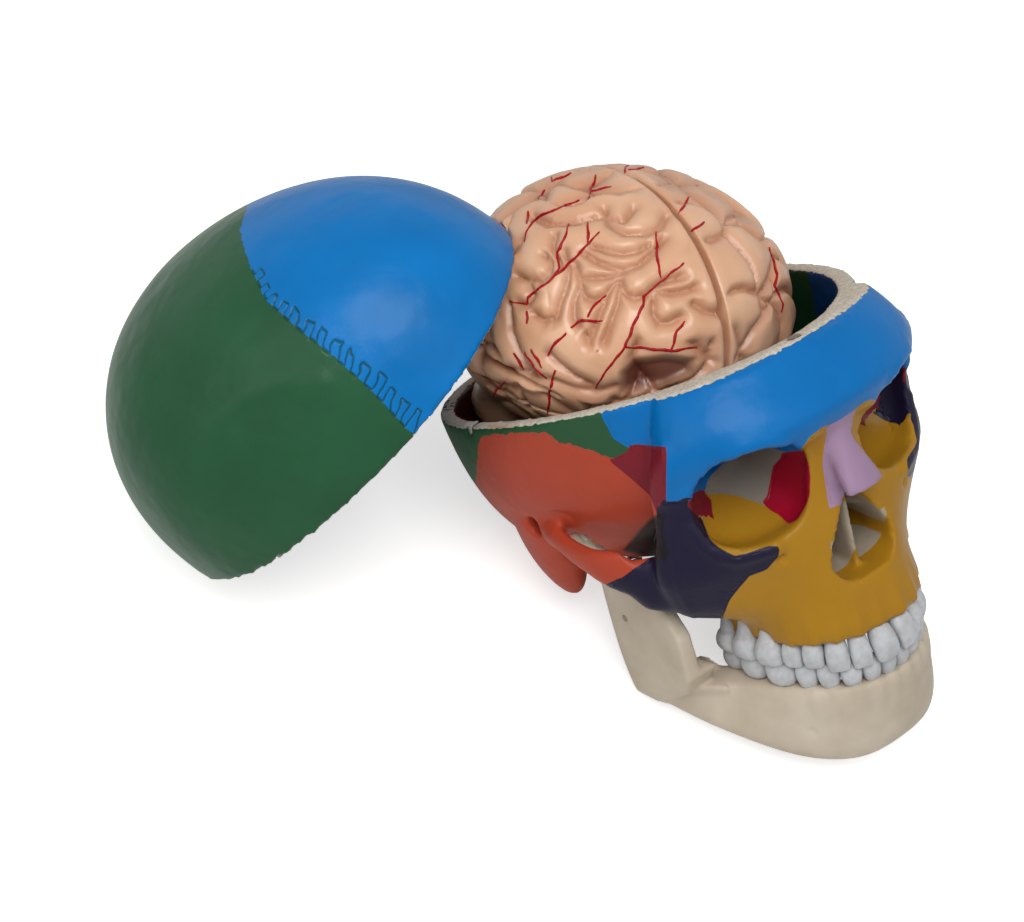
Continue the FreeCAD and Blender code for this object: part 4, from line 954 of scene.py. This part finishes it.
def tooth_plastic(choices):
    """Polished hard PVC: white, a little blue, let through at its edges."""
    material, tree = new_material("Polished hard PVC, tooth white")
    base = mottled(tree, choices.tooth, choices.neck, 3.0, 0.35, 0.7)
    bump = add(tree, "Bump", {"Height": blotches(tree, 2.2), "Distance": 0.05 * MM})
    close_material(tree, base, 0.24, bump, IOR=1.5, Subsurface_Weight=0.12,
                   Subsurface_Scale=1.0 * MM)
    return material


# Brain: furrows of the right half, as the photograph shows them, in its pixels
FURROWS = {
    "crown_bow": ((604, 206), (609, 222), (624, 231), (645, 232), (661, 226), (668, 214)),
    "crown_fork": ((608, 214), (623, 219), (634, 206)),
    "long_arch": ((530, 214), (548, 222), (575, 220), (593, 215), (608, 214)),
    "upper_sweep": ((583, 252), (596, 260), (610, 266), (624, 269), (640, 264), (652, 252),
                    (666, 236)),
    "upper_dimple": ((592, 245), (608, 250), (622, 252), (638, 250), (650, 243)),
    "middle_hook": ((578, 278), (594, 277), (610, 276), (624, 271)),
    "middle_loop": ((580, 283), (583, 296), (594, 301), (606, 295), (614, 284), (621, 279)),
    "nose_fold": ((621, 279), (624, 292), (634, 298), (648, 295), (656, 287), (670, 279),
                  (684, 276)),
    "front_dimple": ((660, 291), (673, 293), (686, 291), (698, 287)),
    "front_step": ((655, 295), (655, 314), (661, 324), (673, 323), (682, 318)),
    "rear_ball": ((542, 253), (549, 261), (547, 273), (537, 280), (524, 279), (514, 275)),
    "rear_low_ball": ((526, 283), (531, 294), (525, 304), (514, 303)),
    "rear_fork": ((553, 234), (550, 247), (556, 256), (559, 264)),
    "rear_column": ((562, 250), (568, 268), (565, 286), (558, 304), (554, 318), (542, 321),
                    (531, 314)),
    "centre_column": ((573, 262), (580, 283), (573, 303), (573, 318), (577, 327)),
    "slant_column": ((610, 288), (603, 306), (594, 328), (588, 344), (585, 335)),
    "front_column": ((620, 284), (618, 304), (609, 328), (603, 344)),
    "low_rear": ((506, 304), (509, 334), (517, 354), (528, 373)),
    "low_middle": ((548, 356), (558, 366), (573, 378), (590, 387)),
    "front_low": ((696, 304), (708, 311), (721, 314)),
}
SIDE_FISSURE = ((478, 357), (496, 364), (517, 372), (537, 379), (553, 382), (573, 390),
                (594, 394), (616, 388))
# Hollow under the front lobe: sunk, and painted dark red as painted shade
UNDER_FRONT = ((622, 374), (640, 362), (668, 357), (696, 361), (694, 374), (668, 388), (640, 396),
               (622, 394))
# Folds that no line was drawn for: their size in millimetres and their depth's shares
FOLD_SPAN = 11.5
FOLD_SEED = 7
FOLD_DEPTH_TOP, FOLD_DEPTH_SIDE = 0.9, 0.55
FOLD_BEND, FOLD_BEND_SCALE, FOLD_CELL_SCALE = 0.75, 0.55, 0.62
# Where such folds begin: off the middle, and off the drawn furrows, each with its fading width
OWN_OFF_MIDDLE, OWN_OFF_DRAWN = (2.0, 4.0), (7.0, 3.0)
# Depth and reach of the cut between the halves and of the side fissure, in millimetres
FISSURE_DEPTH, FISSURE_REACH = 3.2, 3.4
SIDE_CUT_DEPTH, SIDE_CUT_REACH = 3.0, 5.0
UNDER_FRONT_DEPTH, UNDER_FRONT_EDGE = 3.0, (-1.5, 4.0)
# Power that spreads the painted shade of a furrow up its sides
TONE_SPREAD = 0.75
# Where a part is puffed up: shares of the brain's egg and of the vault's, and off the middle
PUFF_FROM, CLEAR_OF_CAP, CLEAR_OF_MIDDLE = (0.84, 0.05), (1.03, 0.03), (0.1, 0.6)
BRAIN_BASE_GRAIN = 0.8
PUFFED_PARTS = ("right_frontoparietal", "right_temporooccipital",
                "left_frontoparietal", "left_temporooccipital")


def cleft(distance, reach):
    """Depth share of a furrow whose sides are round folds: 1 on its line, 0 from its reach on."""
    share = ramp(distance, 0.0, reach)
    return 1.0 - np.sqrt(share * (2.0 - share))


def between_folds(points):
    """Distance in millimetres to the line between two folds, for places no line was drawn on."""
    field.seed_set(FOLD_SEED)
    gaps = np.empty(len(points))
    for row, point in enumerate(points):
        place = Vector((abs(point[0]), point[1], point[2])) / FOLD_SPAN
        bent = place + field.noise_vector(place * FOLD_BEND_SCALE) * FOLD_BEND
        near = field.voronoi(bent * FOLD_CELL_SCALE)[0]
        gaps[row] = (near[1] - near[0]) * FOLD_SPAN
    return gaps


def puffed_part(node, grain):
    """One part of the big brain filled out to its egg, except where the cap leans on it."""
    piece = cast_copy("soft_" + node, node, grain, 2)
    points = mesh_numbers(piece, "co")
    local = in_brain(points)
    share = egg_share(local, BRAIN_EGG)
    weight = ramp(share, *PUFF_FROM) * ramp(abs(local[:, 0]), *CLEAR_OF_MIDDLE)
    off_cap = np.ones(len(points))
    if node.startswith("right"):
        off_cap = ramp(egg_share(in_cap(points), VAULT_EGG), *CLEAR_OF_CAP)
    filled = local / share[:, None]
    moved = local + (filled - local) * (weight * off_cap)[:, None]
    move_to(piece, from_brain(moved))
    return piece, weight


def brain_rows(lines, tree):
    """Lines of the photograph as rows of places in the brain's frame, in metres."""
    rows = [traced(line, tree, 2.0) for line in lines]
    return [[Vector(spot * MM) for spot in in_brain(np.array([list(place) for place in row]))]
            for row in rows if row]


def build_brain(choices):
    """The soft brain: puffy folds on both halves, in their separable parts."""
    material = soft_vinyl(choices)
    pieces = {node: puffed_part(node, choices.grain) for node in PUFFED_PARTS}
    tree = surface_tree(pieces["right_frontoparietal"][0])
    drawn_rows = brain_rows(FURROWS.values(), tree)
    side_rows = brain_rows([SIDE_FISSURE], tree)
    depth, reach = choices.furrow_depth / MM, choices.furrow_reach / MM
    for node, (piece, weight) in pieces.items():
        points = mesh_numbers(piece, "co")
        local = in_brain(points)
        off_middle = abs(local[:, 0])
        own = ramp(off_middle, *OWN_OFF_MIDDLE)
        furrow = np.zeros(len(local))
        under = np.full(len(local), OUT_OF_CLAIM)
        twin = local * np.array([-1, 1, 1])
        if node.startswith("right"):
            twin = local
            from_drawn = line_distance(twin * MM, drawn_rows)
            own *= ramp(from_drawn, *OWN_OFF_DRAWN)
            furrow = cleft(from_drawn, reach)
            under = depth_inside(in_picture(points), UNDER_FRONT) / PIXELS_PER_MM
        own *= FOLD_DEPTH_SIDE if node.endswith("temporooccipital") else FOLD_DEPTH_TOP
        furrow = np.maximum(furrow, own * cleft(between_folds(local), reach))
        fissure = cleft(off_middle, FISSURE_REACH)
        side_cut = cleft(line_distance(twin * MM, side_rows), SIDE_CUT_REACH)
        sink = UNDER_FRONT_DEPTH * ramp(under, *UNDER_FRONT_EDGE) + depth * furrow
        sink = sink + FISSURE_DEPTH * fissure + SIDE_CUT_DEPTH * side_cut
        inward = -local / np.linalg.norm(local, axis=1)[:, None]
        move_to(piece, from_brain(local + inward * (sink * weight)[:, None]))
        soften(piece, 1)
        # Painted shade: a dark tone in the furrows and fissures, spread up their sides
        tone = np.clip(furrow + side_cut + fissure, 0, 1) ** TONE_SPREAD
        keep(piece, "furrow", tone * weight)
        keep(piece, "under_front", under)
        dress(piece, material, "brain_vinyl", "skull", node)


def build_brain_base():
    """The small brain and the stalk, under the big brain."""
    material = bpy.data.materials["Soft vinyl, flesh"]
    for side in ("right", "left"):
        for part in ("cerebellum", "brainstem"):
            node = side + "_" + part
            piece = cast_copy("soft_" + node, node, BRAIN_BASE_GRAIN * MM, 3)
            keep(piece, "furrow", np.zeros(len(piece.data.vertices)))
            keep(piece, "under_front", np.full(len(piece.data.vertices), OUT_OF_CLAIM))
            dress(piece, material, "brain_vinyl", "skull", node)


def soft_vinyl(choices):
    """Thick soft PVC: flesh coloured, an oily gloss, a little light let in, and painted shade in
    its furrows and under the front.
    """
    material, tree = new_material("Soft vinyl, flesh")
    furrow = add(tree, "Attribute", output="Fac", attribute_name="furrow")
    # Painted shade in the furrows
    inside = add(tree, "Math", {0: furrow, 1: 0.7}, operation="MULTIPLY")
    # Painted shade under the front lobe, dark red
    under = add(tree, "Attribute", output="Fac", attribute_name="under_front")
    under = add(tree, "MapRange", {
        "Value": under, "From Min": -2.0, "From Max": 2.2, "To Max": 0.85})
    base = mottled(tree, choices.flesh, choices.warm, 20.0, 0.3, 0.7)
    for share, tone in ((inside, tuple(choices.hollow)), (under, colour("#5A1C1A"))):
        base = add(tree, "Mix", {0: share, 6: base, 7: tone}, **MIXED_COLOUR)
    close_material(tree, base, 0.28, cast_bumps(tree, 1.8, 0.03, 5.0, 0.2), IOR=1.5,
                   Specular_IOR_Level=0.5, Subsurface_Weight=0.2, Subsurface_Scale=3.0 * MM,
                   Subsurface_Radius=(1.0, 0.45, 0.25))
    return material


# Arteries painted on the brain, in the photograph's pixels
ARTERIES = (
    ((684, 263), (661, 281), (644, 296), (643, 306), (636, 319), (625, 347), (603, 375),
     (596, 388)),
    ((656, 232), (657, 252), (658, 263), (661, 278)),
    ((626, 347), (644, 348), (671, 351), (698, 347)),
    ((671, 351), (677, 331), (685, 321)),
    ((569, 224), (564, 240), (557, 252), (559, 268), (552, 279)),
    ((599, 232), (587, 245), (573, 260), (552, 279), (540, 288), (528, 297), (527, 305),
     (509, 301)),
    ((588, 223), (588, 245)),
    ((527, 311), (527, 324)),
    ((579, 200), (560, 208), (542, 215), (532, 222), (527, 232), (524, 242)),
    ((528, 211), (527, 224)),
    ((571, 173), (552, 182), (551, 177)),
    ((545, 190), (538, 199)),
    ((596, 175), (591, 191), (588, 199)),
    ((591, 191), (611, 187)),
    ((625, 173), (626, 166), (642, 160)),
    ((628, 170), (644, 168)),
    ((689, 197), (679, 214)),
    ((704, 222), (691, 232)),
    ((606, 295), (594, 306), (587, 317)),
    ((571, 328), (578, 321), (603, 321)),
    ((566, 333), (552, 347), (548, 356)),
    ((514, 353), (524, 370)),
    ((525, 352), (534, 367), (547, 379)),
    ((531, 349), (542, 368)),
    ((555, 370), (550, 390), (548, 414)),
    ((506, 381), (496, 390), (492, 405)),
    ((769, 247), (777, 273), (775, 287), (783, 304), (781, 312)),
)
# Step along a line and its wobble in pixels with its pace, the beads of enamel, and the taper
LINE_STEP = 2.5
WOBBLE_ACROSS, WOBBLE_DOWN = (0.45, 0.9), (0.4, 0.7)
BEAD_HEIGHT, BEAD_PACES = 0.22, (1.9, 0.7)
THIN_END, THICK_MIDDLE, TAPER_WAVE = 0.35, 0.55, (0.12, 0.8)


def build_arteries(choices):
    """Red arteries laid on the folds in thick enamel."""
    shells = [bpy.data.objects["soft_" + node] for node in PUFFED_PARTS]
    trees = [surface_tree(shell) for shell in shells]
    curve = bpy.data.curves.new("arteries", "CURVE")
    curve.dimensions = "3D"
    curve.bevel_depth = choices.artery_width / 2
    curve.bevel_resolution = 2
    curve.use_fill_caps = True
    for line in ARTERIES:
        spots = []
        for across, down in walked(line, LINE_STEP):
            step = len(spots)
            bent = (across + WOBBLE_ACROSS[0] * math.sin(step * WOBBLE_ACROSS[1] + line[0][0]),
                    down + WOBBLE_DOWN[0] * math.sin(step * WOBBLE_DOWN[1]))
            hits = [tree.ray_cast(EYE, sight_line(bent)) for tree in trees]
            hits = [(hit[3], hit[0]) for hit in hits if hit[0] is not None]
            if hits:
                spots.append(min(hits)[1])
        if len(spots) < 3:
            continue
        spline = curve.splines.new("NURBS")
        spline.points.add(len(spots) - 1)
        spline.order_u = 3
        spline.use_endpoint_u = True
        for index, (point, spot) in enumerate(zip(spline.points, spots)):
            share = index / (len(spots) - 1)
            beads = math.sin(index * BEAD_PACES[0]) * math.sin(index * BEAD_PACES[1])
            middle = math.sin(math.pi * (TAPER_WAVE[0] + TAPER_WAVE[1] * share))
            point.co = (*spot, 1.0)
            point.radius = THIN_END + THICK_MIDDLE * middle + BEAD_HEIGHT * beads
    flat = new_object("artery_curve", curve)
    graph = bpy.context.evaluated_depsgraph_get()
    mesh = bpy.data.meshes.new_from_object(flat.evaluated_get(graph))
    bpy.data.objects.remove(flat)
    bpy.data.curves.remove(curve)
    piece = new_object("artery_lines", mesh)
    mesh.shade_smooth()
    dress(piece, red_enamel(choices), "brain_vinyl", "skull")


def red_enamel(choices):
    """Enamel from a fine brush: deep red, glossy, with thicker and thinner strokes."""
    material, tree = new_material("Red enamel line")
    base = brushed(tree, tuple(choices.artery), 4.0, 0.15)
    bump = add(tree, "Bump", {"Height": blotches(tree, 1.2), "Distance": 0.05 * MM})
    close_material(tree, base, 0.28, bump, IOR=1.5)
    return material


# Metalwork and cushions
def plated_steel(choices):
    """Plated wire and screws: grey, soft reflections, fine drawing marks."""
    material, tree = new_material("Nickel-plated steel")
    bump = add(tree, "Bump", {"Height": blotches(tree, 0.8), "Distance": 0.02 * MM})
    close_material(tree, brushed(tree, tuple(choices.steel), 2.0, 0.1), 0.34, bump, Metallic=1.0)
    return material


def milky_cushion(choices):
    """Cushions moulded from clear PVC: milky, glossy, light passes."""
    material, tree = new_material("Clear soft PVC, milky")
    bump = add(tree, "Bump", {"Height": blotches(tree, 2.0), "Distance": 0.03 * MM})
    close_material(tree, brushed(tree, tuple(choices.cushion), 4.0, 0.06), 0.25, bump,
                   Transmission_Weight=0.5, IOR=1.45)
    return material


# Sides of the wire's section, steps in a turn, and mesh step of a cushion in millimetres
WIRE_SIDES, STEPS_A_TURN, CUSHION_GRAIN = 8, 16, 0.6


def build_springs(choices):
    """Coiled springs between skull and jaw, in the room of their plain sleeves."""
    material = plated_steel(choices)
    for side in ("right", "left"):
        node = side + "_jaw_spring"
        points = mesh_numbers(frame["nodes"][node], "co")
        middle = points.mean(axis=0)
        axis = Vector(np.linalg.svd(points - middle, full_matrices=False)[2][0])
        if axis.z > 0:
            axis.negate()
        along = (points - middle) @ np.array(axis)
        start = Vector(middle) + axis * float(along.min())
        finish = Vector(middle) + axis * float(along.max())
        off_axis = points - middle - along[:, None] * np.array(axis)
        outer = float(np.linalg.norm(off_axis, axis=1).max())
        across = axis.orthogonal().normalized()
        half_wire = choices.wire / 2
        shell = bmesh.new()
        section = bmesh.ops.create_circle(
            shell, segments=WIRE_SIDES, radius=half_wire, cap_ends=False)
        lay = Matrix((across, axis, axis.cross(across))).transposed().to_4x4()
        first = start + axis * half_wire + across * (outer - half_wire)
        bmesh.ops.transform(
            shell, matrix=Matrix.Translation(first) @ lay, verts=section["verts"])
        steps = choices.spring_turns * STEPS_A_TURN
        rise = ((finish - start).length - 2 * half_wire) / steps
        bmesh.ops.spin(shell, geom=shell.verts[:] + shell.edges[:], cent=start, axis=axis,
                       dvec=axis * rise, angle=2 * math.pi * choices.spring_turns, steps=steps)
        bmesh.ops.holes_fill(shell, edges=[edge for edge in shell.edges if edge.is_boundary])
        bmesh.ops.recalc_face_normals(shell, faces=shell.faces)
        mesh = bpy.data.meshes.new("coil_" + side)
        shell.to_mesh(mesh)
        shell.free()
        piece = new_object("coil_" + side, mesh)
        mesh.shade_smooth()
        piece.data.materials.append(material)
        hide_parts(node)
        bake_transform(piece)


def finish_fittings(choices):
    """Magnets, screws and pins keep their solids and get the metal; pads become cushions."""
    metal = bpy.data.materials["Nickel-plated steel"]
    clear = milky_cushion(choices)
    for name, solid in frame["nodes"].items():
        if name.endswith("pad"):
            piece = cast_copy("cushion_" + name.split("_")[0], name, CUSHION_GRAIN * MM, 2)
            dress(piece, clear, "clear_cushion", "skull", name)
        elif name.endswith(("magnets", "screws", "pins")):
            solid.data.materials.clear()
            solid.data.materials.append(metal)
            solid.data.shade_smooth()


# Stage: each lamp's name, place, size in metres and power in watts
LAMPS = (("key_lamp", (-0.25, -0.35, 1.2), 0.8, 9.0), ("side_lamp", (-1.1, 0.1, 0.8), 0.9, 2.6),
         ("face_lamp", (0.2, -1.1, 0.9), 0.9, 1.2))
LAMP_AIM = Vector((0.0, 0.0, 0.07))
FLOOR_HALF_WIDTH = 3.0
CARD_GLOW, ROOM_LEVEL = 0.6, 0.32


def build_stage(choices):
    """Pale floor, soft lamps and the photograph's camera."""
    shell = bmesh.new()
    bmesh.ops.create_grid(shell, x_segments=1, y_segments=1, size=FLOOR_HALF_WIDTH)
    bmesh.ops.translate(shell, verts=shell.verts, vec=(0.0, 0.0, CAD_BOX[0][2]))
    mesh = bpy.data.meshes.new("floor")
    shell.to_mesh(mesh)
    shell.free()
    floor = new_object("floor", mesh)
    mesh.materials.append(white_card(choices))
    for name, place, size, power in LAMPS:
        light = bpy.data.lights.new(name, "AREA")
        light.shape = "DISK"
        light.size = size
        light.energy = power * choices.lamp_level
        lamp = new_object(name, light)
        lamp.location = place
        aim = LAMP_AIM - lamp.location
        lamp.rotation_euler = aim.to_track_quat("-Z", "Y").to_euler()
    light_room()
    scene = bpy.context.scene
    scene.view_settings.view_transform = "Standard"
    lens = bpy.data.cameras.new("photo_camera")
    lens.sensor_fit = "HORIZONTAL"
    lens.sensor_width = SENSOR_WIDTH
    lens.lens = FOCAL_PIXELS * SENSOR_WIDTH / PICTURE_WIDTH
    camera = new_object("photo_camera", lens)
    turn = Matrix((RIGHT, UP, -FORWARD)).transposed().to_4x4()
    camera.matrix_world = Matrix.Translation(EYE) @ turn
    scene.camera = camera


def white_card(choices):
    """Matt card: no gloss, and white to the camera, while it keeps the model's shadow."""
    material, tree = new_material("Matt white card")
    camera_ray = add(tree, "LightPath", output="Is Camera Ray")
    lit = add(tree, "BsdfDiffuse", {"Color": tuple(choices.floor)})
    glow = add(tree, "Emission", {"Color": colour("#FFFFFF"), "Strength": CARD_GLOW})
    both = add(tree, "AddShader", {0: lit, 1: glow})
    shown = add(tree, "MixShader", {0: camera_ray, 1: lit, 2: both})
    add(tree, "OutputMaterial", {"Surface": shown})
    return material


def light_room():
    """A dim even room, which the camera, gloss and clear pieces see as white."""
    world = bpy.data.worlds.new("studio")
    world.use_nodes = True
    tree = world.node_tree
    tree.nodes.clear()
    rays = [add(tree, "LightPath", output=kind)
            for kind in ("Is Camera Ray", "Is Glossy Ray", "Is Transmission Ray")]
    seen = add(tree, "Math", {0: rays[0], 1: rays[1]}, operation="ADD")
    seen = add(tree, "Math", {0: seen, 1: rays[2]}, operation="ADD", use_clamp=True)
    room = add(tree, "Background", {"Color": colour("#EEF1F5"), "Strength": ROOM_LEVEL})
    white = add(tree, "Background", {"Color": colour("#FFFFFF"), "Strength": 1.0})
    shown = add(tree, "MixShader", {0: seen, 1: room, 2: white})
    add(tree, "OutputWorld", {"Surface": shown})
    bpy.context.scene.world = world


# Operators and panel
class ANATOMY_OT_skull(bpy.types.Operator):
    """Make the painted lower skull"""
    bl_idname = "anatomy.skull"
    bl_label = "Painted skull"

    def execute(self, context):
        build_skull(context.scene.anatomy_skull)
        return {"FINISHED"}


class ANATOMY_OT_cap(bpy.types.Operator):
    """Make the loose skull cap with its engraved seam"""
    bl_idname = "anatomy.cap"
    bl_label = "Loose cap"

    def execute(self, context):
        build_cap(context.scene.anatomy_cap)
        return {"FINISHED"}


class ANATOMY_OT_jaw(bpy.types.Operator):
    """Make the bare jaw"""
    bl_idname = "anatomy.jaw"
    bl_label = "Jaw"

    def execute(self, context):
        build_jaw(context.scene.anatomy_jaw)
        return {"FINISHED"}


class ANATOMY_OT_teeth(bpy.types.Operator):
    """Make the crowns of both tooth rows"""
    bl_idname = "anatomy.teeth"
    bl_label = "Teeth"

    def execute(self, context):
        build_teeth(context.scene.anatomy_jaw)
        return {"FINISHED"}


class ANATOMY_OT_brain(bpy.types.Operator):
    """Make the folded parts of the soft brain"""
    bl_idname = "anatomy.brain"
    bl_label = "Big brain"

    def execute(self, context):
        build_brain(context.scene.anatomy_brain)
        return {"FINISHED"}


class ANATOMY_OT_brain_base(bpy.types.Operator):
    """Make the small brain and the stalk"""
    bl_idname = "anatomy.brain_base"
    bl_label = "Small brain and stalk"

    def execute(self, context):
        build_brain_base()
        return {"FINISHED"}


class ANATOMY_OT_arteries(bpy.types.Operator):
    """Make the red arteries on the brain"""
    bl_idname = "anatomy.arteries"
    bl_label = "Arteries"

    def execute(self, context):
        build_arteries(context.scene.anatomy_brain)
        return {"FINISHED"}


class ANATOMY_OT_springs(bpy.types.Operator):
    """Make the coiled springs of the jaw"""
    bl_idname = "anatomy.springs"
    bl_label = "Jaw springs"

    def execute(self, context):
        build_springs(context.scene.anatomy_fittings)
        return {"FINISHED"}


class ANATOMY_OT_fittings(bpy.types.Operator):
    """Finish the magnets, screws, pins and joint pads"""
    bl_idname = "anatomy.fittings"
    bl_label = "Metalwork and cushions"

    def execute(self, context):
        finish_fittings(context.scene.anatomy_fittings)
        return {"FINISHED"}


class ANATOMY_OT_stage(bpy.types.Operator):
    """Make the floor, the lamps and the camera"""
    bl_idname = "anatomy.stage"
    bl_label = "Stage"

    def execute(self, context):
        build_stage(context.scene.anatomy_stage)
        return {"FINISHED"}


OPERATORS = (ANATOMY_OT_skull, ANATOMY_OT_cap, ANATOMY_OT_jaw, ANATOMY_OT_teeth, ANATOMY_OT_brain,
             ANATOMY_OT_brain_base, ANATOMY_OT_arteries, ANATOMY_OT_springs, ANATOMY_OT_fittings,
             ANATOMY_OT_stage)


class ANATOMY_PT_pieces(bpy.types.Panel):
    """Pieces of the model and the choices for each"""
    bl_idname = "ANATOMY_PT_pieces"
    bl_label = "Brain anatomy model"
    bl_space_type = "VIEW_3D"
    bl_region_type = "UI"
    bl_category = "Anatomy"

    def draw(self, context):
        for operator in OPERATORS:
            self.layout.operator(operator.bl_idname)
        for name, group in CHOICES:
            box = self.layout.box()
            choices = getattr(context.scene, name)
            for key in group.__annotations__:
                box.prop(choices, key)


def register():
    for name, group in CHOICES:
        bpy.utils.register_class(group)
        setattr(bpy.types.Scene, name, bpy.props.PointerProperty(type=group))
    for operator in OPERATORS:
        bpy.utils.register_class(operator)
    bpy.utils.register_class(ANATOMY_PT_pieces)


def unregister():
    bpy.utils.unregister_class(ANATOMY_PT_pieces)
    for operator in reversed(OPERATORS):
        bpy.utils.unregister_class(operator)
    for name, group in reversed(CHOICES):
        delattr(bpy.types.Scene, name)
        bpy.utils.unregister_class(group)


def main():
    register()
    bpy.ops.anatomy.skull()
    bpy.ops.anatomy.cap()
    bpy.ops.anatomy.jaw()
    bpy.ops.anatomy.teeth()
    bpy.ops.anatomy.brain()
    bpy.ops.anatomy.brain_base()
    bpy.ops.anatomy.arteries()
    bpy.ops.anatomy.springs()
    bpy.ops.anatomy.fittings()
    bpy.ops.anatomy.stage()


if __name__ == "__main__":
    main()
